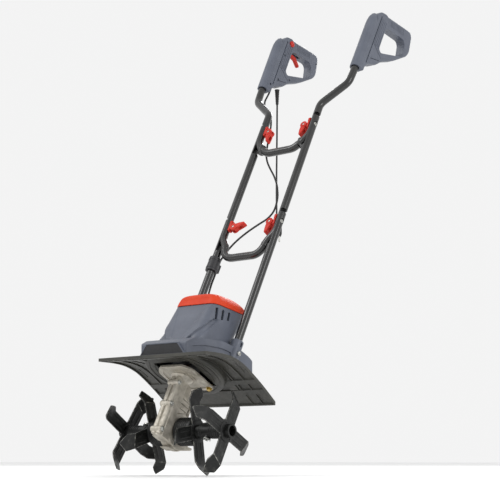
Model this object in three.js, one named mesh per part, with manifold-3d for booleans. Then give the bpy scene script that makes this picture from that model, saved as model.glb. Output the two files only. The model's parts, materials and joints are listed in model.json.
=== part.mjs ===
// Electric garden tiller with a folding three-section handlebar and two D-handles.
// Millimetres, +Z up, front of the machine towards -Y. Right (+X) and left are as seen from the front.
// The pieces are placed from the ground point under the middle of the tine axle, and the whole is then
// moved so that the origin is the middle of the bottom of its box, cord and plug left out.
import * as THREE from "three";
import { mergeVertices } from "three/addons/utils/BufferGeometryUtils.js";
import Module from "manifold-3d";

const wasm = await Module();
wasm.setup();

// ---------------------------------------------------------------- driving dimensions
const gap = 0.3; // between two pieces that touch
const axleHeight = 99;
const lean = 0.485; // radians: motor shaft and handlebar lean back by this much

const wormOffset = 40; // worm shaft in front of the tine axle
const caseHalf = 15; // half width of the gearcase
const wheelCaseRadius = 42;
const flangeZ = [118, 125]; // motor flange, along the leaning motor shaft

const shieldHalf = 164;
const shieldSkin = 3;
const shieldLip = 7;
const panRadius = 98; // round dish on the shield's underside, about the motor shaft
const panHeight = 130; // its lower face, along the lean

const barX = 85; // handlebar tubes, sideways from the middle
const barY = 6; // handlebar tubes behind the axle, square to the lean
const tube = 10; // tube radius
const lowerPivot = 590; // along the lean, from the axle
const upperPivot = 908;
const nestHalf = 32; // length of the half-round nested ends, each way from a pivot
const archX = 63.5; // sideways place of the arches' short legs
const lowerArch = 495;
const upperArch = 836;

const gripX = 156; // D-handles, sideways
const gripZ = 1097; // lower end of a D-handle, along the lean
const splay = THREE.MathUtils.degToRad(1.5);
const gripHalf = 16; // half thickness of a handle's main body
const loopHalf = 13; // half thickness of its loop

const bladeWidth = 33;
const bladeSkin = 3;
const outerStar = 150;
const innerStar = 64;
const hubTube = 15.5;
const hubBore = 11.3;

const camRadius = 10; // clamp levers
const saddleThick = 6;
const leverLength = 34;
const boltSeat = 4; // sideways from a tube's middle to the sunk seat of a pivot bolt's head

const cordRadius = 2.5;

// ---------------------------------------------------------------- materials
const look = (color, roughness, metalness = 0) =>
  new THREE.MeshStandardMaterial({ color, roughness, metalness });
const bluegrey = look(0x5f6473, 0.5);
const redOrange = look(0xe8512f, 0.45);
const leverRed = look(0xd8352a, 0.45);
const blackPlastic = look(0x1c1c1e, 0.55);
const shieldGrey = look(0x3a3a36, 0.6);
const blackTube = look(0x222222, 0.35, 0.4);
const blackPaint = look(0x1d1e1d, 0.45, 0.3);
const castAluminium = look(0xb0aba0, 0.4, 0.8);
const zinc = look(0xb8b8b4, 0.3, 0.9);
const brassScrew = look(0xb89a4a, 0.3, 0.9);
const steel = look(0x8d8f92, 0.35, 0.9);
const copper = look(0xa4623a, 0.4, 0.7);
const bronze = look(0xa5793c, 0.4, 0.8);
const rubber = look(0x161616, 0.8);

// ---------------------------------------------------------------- solids
function solid(geometry) {
  const bare = geometry.clone();
  bare.deleteAttribute("normal");
  bare.deleteAttribute("uv");
  const merged = mergeVertices(bare, 1e-3);
  const corners = [];
  for (let i = 0; i < merged.index.count; i += 3) {
    const [a, b, c] = [0, 1, 2].map((k) => merged.index.getX(i + k));
    if (a !== b && b !== c && c !== a) corners.push(a, b, c);
  }
  const vertProperties = Float32Array.from(merged.attributes.position.array);
  const triVerts = Uint32Array.from(corners);
  return new wasm.Manifold(new wasm.Mesh({ numProp: 3, vertProperties, triVerts }));
}

const toSolid = (shape) => (shape.isBufferGeometry ? solid(shape) : shape);
const join = (...shapes) => shapes.map(toSolid).reduce((a, b) => a.add(b));
const cut = (shape, ...tools) => tools.reduce((a, b) => a.subtract(toSolid(b)), toSolid(shape));
const common = (a, b) => toSolid(a).intersect(toSolid(b));

function geometryOf(shape) {
  const mesh = toSolid(shape).getMesh();
  const geometry = new THREE.BufferGeometry();
  geometry.setAttribute("position", new THREE.BufferAttribute(mesh.vertProperties, 3));
  geometry.setIndex(new THREE.BufferAttribute(mesh.triVerts, 1));
  return geometry;
}

function add(group, name, material, shape) {
  const geometry = geometryOf(shape);
  const mesh = new THREE.Mesh(geometry, material);
  mesh.name = name;
  group.add(mesh);
  return mesh;
}

function box([x0, x1], [y0, y1], [z0, z1]) {
  const geometry = new THREE.BoxGeometry(x1 - x0, y1 - y0, z1 - z0);
  return geometry.translate((x0 + x1) / 2, (y0 + y1) / 2, (z0 + z1) / 2);
}

// Turns a shape made with its length along Z so that the length lies along X, Y or Z.
function along(geometry, axis) {
  if (axis === "x") return geometry.rotateY(Math.PI / 2);
  if (axis === "y") return geometry.rotateX(-Math.PI / 2);
  return geometry;
}

// A round rod along X, Y or Z: the two other coordinates of its axis are in centre.
function rod(axis, radius, [from, to], centre = [0, 0], sides = 20) {
  const geometry = new THREE.CylinderGeometry(radius, radius, to - from, sides).rotateX(Math.PI / 2);
  along(geometry, axis);
  const [a, b] = centre;
  const middle = (from + to) / 2;
  const place = { x: [middle, a, b], y: [a, middle, b], z: [a, b, middle] }[axis];
  return geometry.translate(...place);
}

// A turned solid: [radius, height] points from axis to axis, revolved about X, Y or Z.
function turned(axis, points, sides = 24) {
  const profile = points.map(([r, h]) => new THREE.Vector2(r, h));
  return along(new THREE.LatheGeometry(profile, sides).rotateX(Math.PI / 2), axis);
}

const outline = (points) => new THREE.Shape(points.map(([a, b]) => new THREE.Vector2(a, b)));

// An outline in (x, y) raised along Z.
function prismZ(points, [z0, z1]) {
  const raised = new THREE.ExtrudeGeometry(outline(points), { depth: z1 - z0, bevelEnabled: false });
  return raised.translate(0, 0, z0);
}

// An outline in (y, z) stretched along X, with an optional bevel on both faces.
function prismX(points, [x0, x1], bevel = 0) {
  const options = {
    depth: x1 - x0 - 2 * bevel,
    bevelEnabled: bevel > 0,
    bevelSize: bevel,
    bevelThickness: bevel,
    bevelOffset: -bevel,
    bevelSegments: 2,
  };
  const geometry = new THREE.ExtrudeGeometry(outline(points), options).translate(0, 0, x0 + bevel);
  const turn = new THREE.Matrix4().makeBasis(
    new THREE.Vector3(0, 1, 0),
    new THREE.Vector3(0, 0, 1),
    new THREE.Vector3(1, 0, 0),
  );
  return geometry.applyMatrix4(turn);
}

// An outline in (x, z) stretched along Y.
function prismY(points, [y0, y1]) {
  const geometry = new THREE.ExtrudeGeometry(outline(points), { depth: y1 - y0, bevelEnabled: false });
  return geometry.rotateX(Math.PI / 2).translate(0, y1, 0);
}

const circle = (radius, sides) => {
  const turn = (i) => (2 * Math.PI * i) / sides;
  return Array.from({ length: sides }, (_, i) => [radius * Math.cos(turn(i)), radius * Math.sin(turn(i))]);
};

// A round bar along a curve.
function sweep(curve, radius, sides, steps = curve.points.length - 1) {
  const section = outline(circle(radius, sides));
  return new THREE.ExtrudeGeometry(section, { steps, extrudePath: curve, bevelEnabled: false });
}

const vectors = (points) => points.map((p) => new THREE.Vector3(...p));
const smooth = (points) => new THREE.CatmullRomCurve3(vectors(points), false, "centripetal");

// A curve that runs straight from each point to the next, with one step at each.
class Rail extends THREE.Curve {
  constructor(points) {
    super();
    this.points = points;
  }

  getPoint(t) {
    const place = t * (this.points.length - 1);
    const i = Math.min(Math.floor(place + 1e-9), this.points.length - 2);
    return this.points[i].clone().lerp(this.points[i + 1], place - i);
  }

  getPointAt(u) {
    return this.getPoint(u);
  }

  getTangentAt(u) {
    return this.getTangent(u);
  }
}

// A bar's centre line: straight runs joined by rounded corners.
function bentPath(points, bend, stepsPerBend = 3) {
  const corners = vectors(points);
  const path = [corners[0]];
  for (let i = 1; i < corners.length - 1; i += 1) {
    const before = corners[i].clone().sub(corners[i - 1]).setLength(bend);
    const after = corners[i + 1].clone().sub(corners[i]).setLength(bend);
    const round = new THREE.QuadraticBezierCurve3(
      corners[i].clone().sub(before),
      corners[i],
      corners[i].clone().add(after),
    );
    path.push(...round.getPoints(stepsPerBend));
  }
  return new Rail([...path, corners[corners.length - 1]]);
}

// A closed skin through rings of equally many points, with flat ends.
function loft(rings) {
  const count = rings[0].length;
  const positions = rings.flat(2);
  const index = [];
  for (let r = 0; r + 1 < rings.length; r += 1) {
    for (let i = 0; i < count; i += 1) {
      const a = r * count + i;
      const b = r * count + ((i + 1) % count);
      index.push(a, b, b + count, a, b + count, a + count);
    }
  }
  const last = (rings.length - 1) * count;
  for (let i = 1; i + 1 < count; i += 1) {
    index.push(0, i + 1, i);
    index.push(last, last + i, last + i + 1);
  }
  const geometry = new THREE.BufferGeometry();
  geometry.setAttribute("position", new THREE.Float32BufferAttribute(positions, 3));
  geometry.setIndex(index);
  return geometry;
}

// A rounded rectangle in plan, tipped down towards the rear by slope.
function plan({ y, z, a, b, corner, slope = 0 }) {
  const ring = [];
  const steps = 3;
  for (let quarter = 0; quarter < 4; quarter += 1) {
    const sx = quarter === 0 || quarter === 3 ? 1 : -1;
    const sy = quarter < 2 ? 1 : -1;
    for (let k = 0; k <= steps; k += 1) {
      const turn = (Math.PI / 2) * (quarter + k / steps);
      const px = sx * (a - corner) + corner * Math.cos(turn);
      const py = sy * (b - corner) + corner * Math.sin(turn);
      ring.push([px, y + py, z - slope * py]);
    }
  }
  return ring;
}

// ---------------------------------------------------------------- frames
const tiller = new THREE.Group();
const machine = new THREE.Group(); // the ground under the middle of the axle is its origin
tiller.add(machine);
const leaning = new THREE.Group(); // axle centre is its origin, its Z runs up the motor shaft
leaning.position.set(0, 0, axleHeight);
leaning.rotation.x = -lean;
machine.add(leaning);
leaning.updateWorldMatrix(true, true);
const leanMatrix = leaning.matrixWorld.clone();
const leaned = (shape) => geometryOf(shape).applyMatrix4(leanMatrix);
const unleaned = (shape) => geometryOf(shape).applyMatrix4(leanMatrix.clone().invert());
const rightAndLeft = [
  ["right", 1],
  ["left", -1],
];

// ---------------------------------------------------------------- gearcase
const flangeBolt = { x: 44, y: 10 };
const ridgeY = -wormOffset - 18; // front ridge that carries the case screws
const screwSpots = [
  ["case_screw_top", 96],
  ["case_screw_middle", 41],
  ["case_screw_bottom", -24],
];

function gearcaseBlank() {
  const column = rod("z", 18, [-36, flangeZ[0] - gap], [0, -wormOffset], 20);
  const narrow = box([-caseHalf, caseHalf], [-90, 60], [-70, 130]);
  const ridge = box([-5, 5], [ridgeY - 3, -wormOffset], [-30, 100]);
  const wheelCase = rod("x", wheelCaseRadius, [-caseHalf, caseHalf], [0, 0], 28);
  const web = prismX([[-30, 112], [-12, 112], [16, 84], [18, 30], [-30, 30]], [-9, 9]);
  const neck = turned("z", [[0, 92], [15, 92], [30, flangeZ[0] - gap], [0, flangeZ[0] - gap]], 20);
  neck.translate(0, -wormOffset, 0);
  const lugs = screwSpots.map(([, z]) => rod("x", 7, [-caseHalf, caseHalf], [ridgeY, z], 12));
  return join(common(column, narrow), ridge, wheelCase, web, neck, ...lugs);
}

function gearcase() {
  const foot = prismX([[-40, 66], [-18, 57], [34, 57], [40, 58.5], [40, 62], [26, 66], [20, 72]], [-13, 13]);
  const wormRoom = rod("z", 11.4, [-30, 90], [0, -wormOffset], 16);
  const shaftRoom = rod("z", 7, [80, 130], [0, -wormOffset], 12);
  const wheelRoom = rod("x", 35, [-11, 11], [0, 0], 24);
  const axleRoom = rod("x", 11 + gap, [-60, 60], [0, 0], 20);
  const slot = prismX([[6, 82], [12, 78], [12, 46], [6, 44]], [-14, 14]);
  const screwHoles = screwSpots.map(([, z]) => rod("x", 3.2, [-30, 30], [ridgeY, z], 10));
  const body = join(gearcaseBlank(), unleaned(foot));
  const shell = cut(body, wormRoom, shaftRoom, wheelRoom, axleRoom, slot, ...screwHoles);
  const rightHalf = box([gap / 2, 80], [-120, 120], [-90, 140]);
  const leftHalf = box([-80, -gap / 2], [-120, 120], [-90, 140]);
  add(leaning, "gearcase_right", castAluminium, common(shell, rightHalf));
  add(leaning, "gearcase_left", castAluminium, common(shell, leftHalf));
  for (const [name, z] of screwSpots) {
    const head = rod("x", 4.6, [caseHalf + gap, caseHalf + 4], [0, 0], 6);
    const shank = rod("x", 2.9, [1 - caseHalf, caseHalf + 1], [0, 0], 10);
    add(leaning, name, zinc, join(head, shank)).position.set(0, ridgeY, z);
  }
}

function motorFlange() {
  const plate = prismZ([[-52, 18], [-52, -66], [-34, -88], [34, -88], [52, -66], [52, 18]], flangeZ);
  const shaftHole = rod("z", 13, [100, 140], [0, -wormOffset], 20);
  const holes = [-1, 1].map((side) => rod("z", 3.3, [100, 140], [side * flangeBolt.x, flangeBolt.y], 12));
  add(leaning, "motor_flange", castAluminium, cut(plate, shaftHole, ...holes));
  rightAndLeft.forEach(([side, sign]) => {
    const head = rod("z", 5.5, [flangeZ[0] - 5, flangeZ[0] - gap], [0, 0], 6);
    const shank = rod("z", 3, [flangeZ[0] - 1, flangeZ[1] + 4], [0, 0], 12);
    const bolt = add(leaning, `flange_bolt_${side}`, brassScrew, join(head, shank));
    bolt.position.set(sign * flangeBolt.x, flangeBolt.y, 0);
  });
}

// ---------------------------------------------------------------- shield
const shieldTop = [
  [-90, 268], [-40, 267], [-8, 264], [16, 258], [40, 249], [66, 234], [92, 217], [118, 199], [160, 167],
];

function shield() {
  const band = (drop, front, rear) => {
    const last = shieldTop.length - 1;
    const inset = (i) => (i === 0 ? front : 0) - (i === last ? rear : 0);
    const run = shieldTop.map(([y, z], i) => [y + inset(i), z]);
    const upper = run.map(([y, z]) => [y, z - drop]);
    const under = run.map(([y, z]) => [y, z - shieldLip]).reverse();
    return [...upper, ...under];
  };
  const blank = prismX(band(0, 0, 0), [-shieldHalf, shieldHalf]);
  const inner = shieldHalf - shieldSkin;
  const low = band(shieldSkin, 3, 3).map(([y, z], i) => (i < shieldTop.length ? [y, z] : [y, z - 6]));
  const hollow = prismX(low, [-inner, inner]);
  const reach = (side) => [[160, side], [-90, side]];
  const under = (drop) => prismX([...shieldTop.map(([y, z]) => [y, z - drop]), ...reach(100)], [-160, 160]);
  const dish = (radius, bottom) => leaned(rod("z", radius, [bottom, 300], [0, -wormOffset], 48));
  const pan = common(dish(panRadius, panHeight), under(1));
  const panRoom = common(dish(panRadius - shieldSkin, panHeight + shieldSkin), under(shieldSkin));
  const opening = leaned(box([-54, 54], [-90, 20], [90, 240]));
  add(machine, "shield", shieldGrey, cut(join(cut(blank, hollow), pan), opening, panRoom));
}

// ---------------------------------------------------------------- motor housing
const bodySections = [
  { y: 62, z: 291, a: 69, b: 66, corner: 24, slope: 0.2 },
  { y: 66, z: 312, a: 68, b: 65, corner: 24, slope: 0.06 },
  { y: 96, z: 350, a: 65, b: 62, corner: 22, slope: 0.12 },
  { y: 120, z: 384, a: 62, b: 60, corner: 20, slope: 0.17 },
];
const capSections = [
  { y: 120, z: 385, a: 64, b: 62, corner: 21, slope: 0.17 },
  { y: 124, z: 396, a: 63, b: 60, corner: 21, slope: 0.17 },
  { y: 121, z: 408, a: 55, b: 53, corner: 22, slope: 0.17 },
  { y: 119, z: 416, a: 42, b: 40, corner: 24, slope: 0.14 },
  { y: 118, z: 419, a: 26, b: 26, corner: 20, slope: 0.1 },
];
// Vents high in both sides of the motor housing: slanted slots, given by the rearward place of their tops.
const ventTops = [70, 92, 114];
const ventOutline = (top) => {
  const high = 397 - 0.17 * top;
  return [[top - 3, high], [top + 3, high], [top - 5, 358], [top - 11, 358]];
};
const shrink = (sections, wall, drop) =>
  sections.map((s) => {
    const corner = Math.max(s.corner - wall, 4);
    return { ...s, a: s.a - wall, b: s.b - wall, corner, z: s.z - drop };
  });

function housing() {
  const body = loft(bodySections.map(plan));
  const roomSections = shrink(bodySections, 3, 0);
  roomSections[0].z -= 6;
  roomSections[3].z += 2;
  const room = loft(roomSections.map(plan));
  const skirtSide = [
    [-48, 270.5], [-46, 298], [-20, 309], [60, 303], [120, 288], [150, 274], [166, 263], [168, 240],
  ];
  const under = [
    [160, 172], [118, 201], [92, 219], [66, 236.5], [40, 251], [16, 260.5], [-8, 266.5], [-40, 269.5],
  ];
  const skirtPlan = [[-70, -48], [70, -48], [80, 10], [92, 40], [92, 168], [-92, 168], [-92, 40], [-80, 10]];
  const skirt = common(prismX([...skirtSide, ...under], [-100, 100]), prismZ(skirtPlan, [160, 320]));
  const skirtRoomSide = [
    [-42, 200], [-42, 294], [-18, 304], [60, 298], [118, 283], [148, 269], [160, 258], [160, 200],
  ];
  const roomPlan = [[-62, -43], [62, -43], [72, 12], [70, 158], [-70, 158], [-72, 12]];
  const skirtRoom = common(prismX(skirtRoomSide, [-100, 100]), prismZ(roomPlan, [160, 320]));
  const sockets = [-1, 1].map((side) => leaned(rod("z", 15, [150, 240], [side * barX, barY], 16)));
  const bores = [-1, 1].map((side) => leaned(rod("z", tube + gap, [186, 260], [side * barX, barY], 16)));
  const screwHoles = [-1, 1].map((side) => {
    const spot = new THREE.Vector3(0, barY, 205).applyMatrix4(leanMatrix);
    return rod("x", 3.3, side > 0 ? [70, 130] : [-130, -70], [spot.y, spot.z], 12);
  });
  const shieldLine = shieldTop.map(([y, z]) => [y, z + gap]);
  const ground = prismX([...shieldLine, [200, 137], [200, 0], [-120, 0], [-120, 268]], [-200, 200]);
  const ventSides = [[-90, -52], [52, 90]];
  const vents = ventSides.flatMap((side) => ventTops.map((top) => prismX(ventOutline(top), side)));
  const badgeSeat = prismY([[-66, 272.5], [66, 272.5], [47, 295.6], [-47, 295.6]], [-60, -45.5]);
  const cableHole = leaned(rod("y", 4.5, [0, 60], [-45, 292], 12));
  const openings = [room, skirtRoom, ...bores, ...screwHoles, ground, ...vents];
  const whole = cut(join(body, skirt, ...sockets), ...openings);
  add(machine, "motor_housing", bluegrey, cut(whole, badgeSeat, cableHole));

  const capRoom = shrink(capSections, 3, 3);
  capRoom[0].z -= 8;
  add(machine, "motor_cap", redOrange, cut(loft(capSections.map(plan)), loft(capRoom.map(plan))));

  const badge = prismY([[-64, 273.2], [64, 273.2], [46, 295], [-46, 295]], [-51, -45.8]);
  add(machine, "badge_plate", blackPlastic, badge);

  for (const [name, side] of rightAndLeft) {
    const head = rod("x", 5, [102 - 1.7, 105], [0, 0], 12);
    const shank = rod("x", 3, [97, 101], [0, 0], 12);
    const screw = add(leaning, `socket_screw_${name}`, zinc, join(head, shank));
    screw.rotation.z = side > 0 ? 0 : Math.PI;
    screw.position.set(0, barY, 205);
  }
}

// ---------------------------------------------------------------- motor and worm drive
function motor() {
  const y = -wormOffset;
  const ring = cut(rod("z", 36, [172, 232], [0, 0], 28), rod("z", 26, [160, 240], [0, 0], 24));
  add(leaning, "stator", steel, ring).position.y = y;
  const race = cut(rod("z", 13, [126, 135], [0, 0], 20), rod("z", 6 + gap, [120, 140], [0, 0], 16));
  add(leaning, "motor_bearing", steel, race).position.y = y;
  const shaft = rod("z", 6, [72, 276], [0, 0], 16);
  const core = rod("z", 24.5, [174, 230], [0, 0], 24);
  const commutator = rod("z", 14, [236, 252], [0, 0], 20);
  add(leaning, "rotor", copper, join(shaft, core, commutator)).position.y = y;
  const hub = cut(rod("z", 10, [146, 160], [0, 0], 16), rod("z", 6 + gap, [140, 170], [0, 0], 16));
  const blades = Array.from({ length: 7 }, (_, i) => {
    const blade = box([8, 33], [-1.2, 1.2], [148, 160]);
    return blade.rotateZ((2 * Math.PI * i) / 7);
  });
  const backing = cut(rod("z", 33, [145, 148], [0, 0], 24), rod("z", 6 + gap, [140, 170], [0, 0], 16));
  add(leaning, "cooling_fan", blackPlastic, join(hub, backing, ...blades)).position.y = y;

  const thread = Array.from({ length: 7 }, (_, i) => {
    const ribProfile = [[0, -2.4], [8, -2.4], [10.6, -0.8], [10.6, 0.8], [8, 2.4], [0, 2.4]];
    const rib = turned("z", ribProfile, 12);
    return rib.translate(0, 0, -21 + 7 * i);
  });
  add(leaning, "worm", steel, join(rod("z", 8, [-28, 71.5], [0, 0], 12), ...thread)).position.y = y;
}

function tineAxle() {
  const shaft = rod("x", 11, [-118, 118], [0, 0], 24);
  const pinHole = (side) => rod("z", 4.3, [-20, 20], [side * 100, 0], 12);
  add(leaning, "tine_shaft", steel, cut(shaft, pinHole(1), pinHole(-1)));
  const teeth = Array.from({ length: 20 }, (_, i) => {
    const tooth = box([-6, 6], [-1.6, 1.6], [25, 28.9]);
    return tooth.rotateX((2 * Math.PI * i) / 20);
  });
  const wheelBore = rod("x", 11 + gap, [-20, 20], [0, 0], 20);
  const wheel = cut(join(rod("x", 26, [-7, 7], [0, 0], 24), ...teeth), wheelBore);
  add(leaning, "worm_wheel", bronze, wheel);
  for (const [name, side] of rightAndLeft) {
    const cup = [[hubTube, 62], [30, 62], [32, 58], [32, 19], [29, 17], [hubBore, 17]];
    const hubProfile = [[hubBore, 17], [hubBore, 166], [hubTube, 166], ...cup];
    const hub = turned("x", hubProfile.reverse(), 24);
    const cross = rod("z", 4.3, [-40, 40], [100, 0], 12);
    const hollow = cut(rod("x", 29, [10, 56], [0, 0], 24), rod("x", hubTube, [0, 70], [0, 0], 24));
    const shape = cut(hub, cross, hollow);
    const piece = add(leaning, `tine_hub_${name}`, blackPaint, shape);
    piece.rotation.z = side > 0 ? 0 : Math.PI;
    const pinShape = join(rod("z", 4, [-19, 19], [100, 0], 12), rod("z", 7, [19, 23], [100, 0], 12));
    const pin = add(leaning, `clevis_pin_${name}`, zinc, pinShape);
    pin.rotation.z = side > 0 ? 0 : Math.PI;
  }
}

// A star of four blades square to X. The tips are bent towards +X or -X.
function star(bendSide, tipLength) {
  const half = bladeWidth / 2;
  const flat = 70;
  const bendAngle = THREE.MathUtils.degToRad(38) * bendSide;
  const blade = [];
  const armOutline = [[-half, 0], [half, 0], [half, flat - 6], [-half, flat + 6]];
  const tipOutline = [
    [-half, 6], [half, -6], [half + 3, 12], [half - 4, tipLength - 10], [6, tipLength], [-half, 26],
  ];
  const arm = prismX(armOutline, [-bladeSkin / 2, bladeSkin / 2]);
  const tip = prismX(tipOutline, [-bladeSkin / 2, bladeSkin / 2]);
  const slant = Math.atan2(12, bladeWidth);
  tip.rotateX(slant).rotateY(bendAngle).rotateX(-slant).translate(0, 0, flat);
  for (let i = 0; i < 4; i += 1) {
    const turn = (Math.PI / 2) * i;
    blade.push(arm.clone().rotateX(turn), tip.clone().rotateX(turn));
  }
  return cut(join(...blade), rod("x", hubTube + gap, [-9, 9], [0, 0], 24));
}

function tines() {
  const places = [
    ["tine_star_outer_right", outerStar, -1, 28.5, 40],
    ["tine_star_inner_right", innerStar, 1, 81.5, 35],
    ["tine_star_inner_left", -innerStar, -1, 73, 35],
    ["tine_star_outer_left", -outerStar, 1, 34.4, 40],
  ];
  for (const [name, x, bend, angle, tipLength] of places) {
    const piece = add(machine, name, blackPaint, star(bend, tipLength));
    piece.position.set(x, 0, axleHeight);
    piece.rotation.x = THREE.MathUtils.degToRad(-angle);
  }
}

// ---------------------------------------------------------------- handlebar
const boltHole = (side, z) => rod("x", 3 + gap, side > 0 ? [40, 120] : [-120, -40], [barY, z], 12);

// The space beside the bar's middle line: the outer side, or the inner side, near one pivot.
function nestBlock(side, which, pivot, below, above) {
  const outer = [barX - gap / 2, barX + 30];
  const inner = [barX - 30, barX + gap / 2];
  const [a, b] = which === "outer" ? outer : inner;
  return box(side > 0 ? [a, b] : [-b, -a], [barY - 20, barY + 20], [pivot - below, pivot + above]);
}

// The sunk seat of a pivot bolt's head, in the outer side of a tube.
function boltSeatCut(side, z) {
  const [a, b] = [barX + boltSeat, barX + 30];
  return rod("x", 7, side > 0 ? [a, b] : [-b, -a], [barY, z], 16);
}

function lowerTubes() {
  for (const [name, side] of rightAndLeft) {
    const bar = rod("z", tube, [188, lowerPivot + 26], [side * barX, barY], 16);
    const nest = nestBlock(side, "inner", lowerPivot, nestHalf + 40, 60);
    const screwHole = rod("x", 3.3, side > 0 ? [90, 120] : [-120, -90], [barY, 205], 12);
    const holes = [boltHole(side, lowerPivot), boltSeatCut(side, lowerPivot), screwHole];
    add(leaning, `lower_tube_${name}`, blackTube, cut(bar, nest, ...holes));
  }
}

// An arch with two long arms. Its legs run down beside the tubes below the pivot.
function archPath(bottom, pivot, armPoints) {
  const leg = [
    [archX, barY, bottom + 17],
    [archX, barY, pivot - 62],
    [barX, barY, pivot - 30],
  ];
  const right = [...leg, ...armPoints];
  const left = right.map(([x, y, z]) => [-x, y, z]).reverse();
  return [...left, [-archX + 19, barY + 2, bottom], [archX - 19, barY + 2, bottom], ...right];
}

function middleBar() {
  const bar = sweep(bentPath(archPath(lowerArch, lowerPivot, [[barX, barY, upperPivot + 26]]), 14), tube, 12);
  const tools = [];
  for (const side of [1, -1]) {
    tools.push(nestBlock(side, "outer", lowerPivot, nestHalf + 38, nestHalf + 4));
    tools.push(nestBlock(side, "inner", upperPivot, nestHalf + 40, 60));
    tools.push(boltHole(side, lowerPivot), boltHole(side, upperPivot), boltSeatCut(side, upperPivot));
  }
  add(leaning, "middle_bar", blackTube, cut(bar, ...tools));
}

function upperBar() {
  const tipX = gripX + 70 * Math.sin(splay);
  const arm = [
    [barX, barY, 979],
    [gripX - 3, barY + 5, 1044],
    [gripX, barY + 6, gripZ - 12],
    [tipX, barY + 6, gripZ + 58],
  ];
  const bar = sweep(bentPath(archPath(upperArch, upperPivot, arm), 14), tube, 12);
  const tools = [];
  for (const side of [1, -1]) {
    tools.push(nestBlock(side, "outer", upperPivot, nestHalf + 38, nestHalf + 4));
    tools.push(boltHole(side, upperPivot));
  }
  add(leaning, "upper_bar", blackTube, cut(bar, ...tools));
}

const saddleFace = barX - tube - gap; // where a clamp's saddle meets the bar
const pinX = saddleFace - saddleThick - gap - camRadius - 0.2;

function clampBolt(name, side, z) {
  const seat = barX + boltSeat + gap;
  const stem = rod("x", 3, [pinX, seat + 1], [0, 0], 12);
  const head = rod("x", 5.8, [seat, seat + 3.5], [0, 0], 12);
  const crossPin = rod("y", 3.4, [-8.5, 8.5], [pinX, 0], 12);
  const bolt = add(leaning, name, zinc, join(stem, head, crossPin));
  bolt.position.set(0, barY, z);
  bolt.rotation.z = side > 0 ? 0 : Math.PI;
}

function clampSaddle(name, side, z) {
  const pad = box([saddleFace - saddleThick, saddleFace], [-7, 7], [-9, 22]);
  const piece = add(leaning, name, leverRed, cut(pad, rod("x", 3 + gap, [0, 100], [0, 0], 12)));
  piece.position.set(0, barY, z);
  piece.rotation.z = side > 0 ? 0 : Math.PI;
}

// A cam lever turned about its pin. At angle 0 it lies along the bar, pointing down, and clamps.
function camLever(name, side, z, angle) {
  const cam = rod("y", camRadius, [-9, 9], [0, 0], 16);
  const tip = leverLength;
  const armSide = [[-8, 0], [8, 2], [6, -12], [2, 10 - tip], [-2, -tip], [-7, 1 - tip], [-9, -tip / 2]];
  const arm = prismY(armSide, [-8, 8]);
  const pinHole = rod("y", 3.4 + gap, [-20, 20], [0, 0], 12);
  const swing = box([-14, 14], [-3.6, 3.6], [-3.6, 14]);
  const lever = add(leaning, name, leverRed, cut(join(cam, arm), pinHole, swing));
  lever.position.set(side * pinX, barY, z);
  lever.rotation.order = "ZYX";
  lever.rotation.z = side > 0 ? 0 : Math.PI;
  lever.rotation.y = angle;
}

function clamps() {
  const open = THREE.MathUtils.degToRad(100);
  const places = [
    ["lower", lowerPivot, { right: 0, left: open }],
    ["upper", upperPivot, { right: 0, left: 0 }],
  ];
  for (const [level, z, angles] of places) {
    for (const [name, side] of rightAndLeft) {
      clampBolt(`${level}_bolt_${name}`, side, z);
      clampSaddle(`${level}_saddle_${name}`, side, z);
      camLever(`${level}_lever_${name}`, side, z, angles[name]);
    }
  }
}

function cableClip() {
  const ring = rod("z", tube + 5, [-20, 20], [0, 0], 20);
  const lug = box([-6, 6], [tube, tube + 13], [-12, 12]);
  const tubeHole = rod("z", tube + gap, [-30, 30], [0, 0], 20);
  const cordHole = rod("z", cordRadius + 2 * gap, [-30, 30], [0, tube + 7.5], 12);
  const clip = add(leaning, "cable_clip", blackPlastic, cut(join(ring, lug), tubeHole, cordHole));
  clip.position.set(-barX, barY, 478);
}

// ---------------------------------------------------------------- D-handles
// Outlines in a handle's own (rearward, upward) plane, from the middle of its lower end.
const handleOutside = [
  [-14, 0], [-14, 160], [-7, 190], [10, 213], [30, 223], [52, 230], [134, 263], [153, 269], [164, 259],
  [174, 210], [169, 192], [124, 134], [82, 94], [60, 60], [27, 34], [19, 16], [19, 0],
];
const handleOpening = [
  [50, 112], [50, 184], [60, 195], [132, 222], [143, 215], [152, 180], [145, 168], [62, 106],
];
const mainBody = [
  [-14, 0], [-14, 160], [-7, 190], [10, 213], [30, 223], [42, 223], [47, 213], [47, 92], [60, 60],
  [27, 34], [19, 16], [19, 0],
];
const triggerPivot = [55, 186];
const buttonPlace = [35, 205];
function handleFrame(side) {
  const frame = new THREE.Group();
  frame.position.set(side * gripX, barY + 6, gripZ);
  frame.rotation.y = side * splay;
  leaning.add(frame);
  return frame;
}

const half = (side) => box(side > 0 ? [gap / 2, 40] : [-40, -gap / 2], [-60, 260], [-60, 320]);

function handleShells(name, side, rooms) {
  const loop = cut(prismX(handleOutside, [-loopHalf, loopHalf], 4), prismX(handleOpening, [-30, 30]));
  const spine = prismX(mainBody, [-gripHalf, gripHalf], 6);
  const tubeBore = rod("z", tube + 1.2, [-20, 74], [0, 0], 16);
  const hollow = [[-8, 90], [-8, 168], [6, 192], [24, 204], [34, 202], [38, 100], [26, 84]];
  const pocket = prismX(hollow, [-10, 10]);
  const shell = cut(join(loop, spine), tubeBore, pocket, ...rooms);
  const frame = handleFrame(side);
  add(frame, `handle_${name}_outer`, bluegrey, common(shell, half(side)));
  add(frame, `handle_${name}_inner`, bluegrey, common(shell, half(-side)));
  return frame;
}

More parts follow.
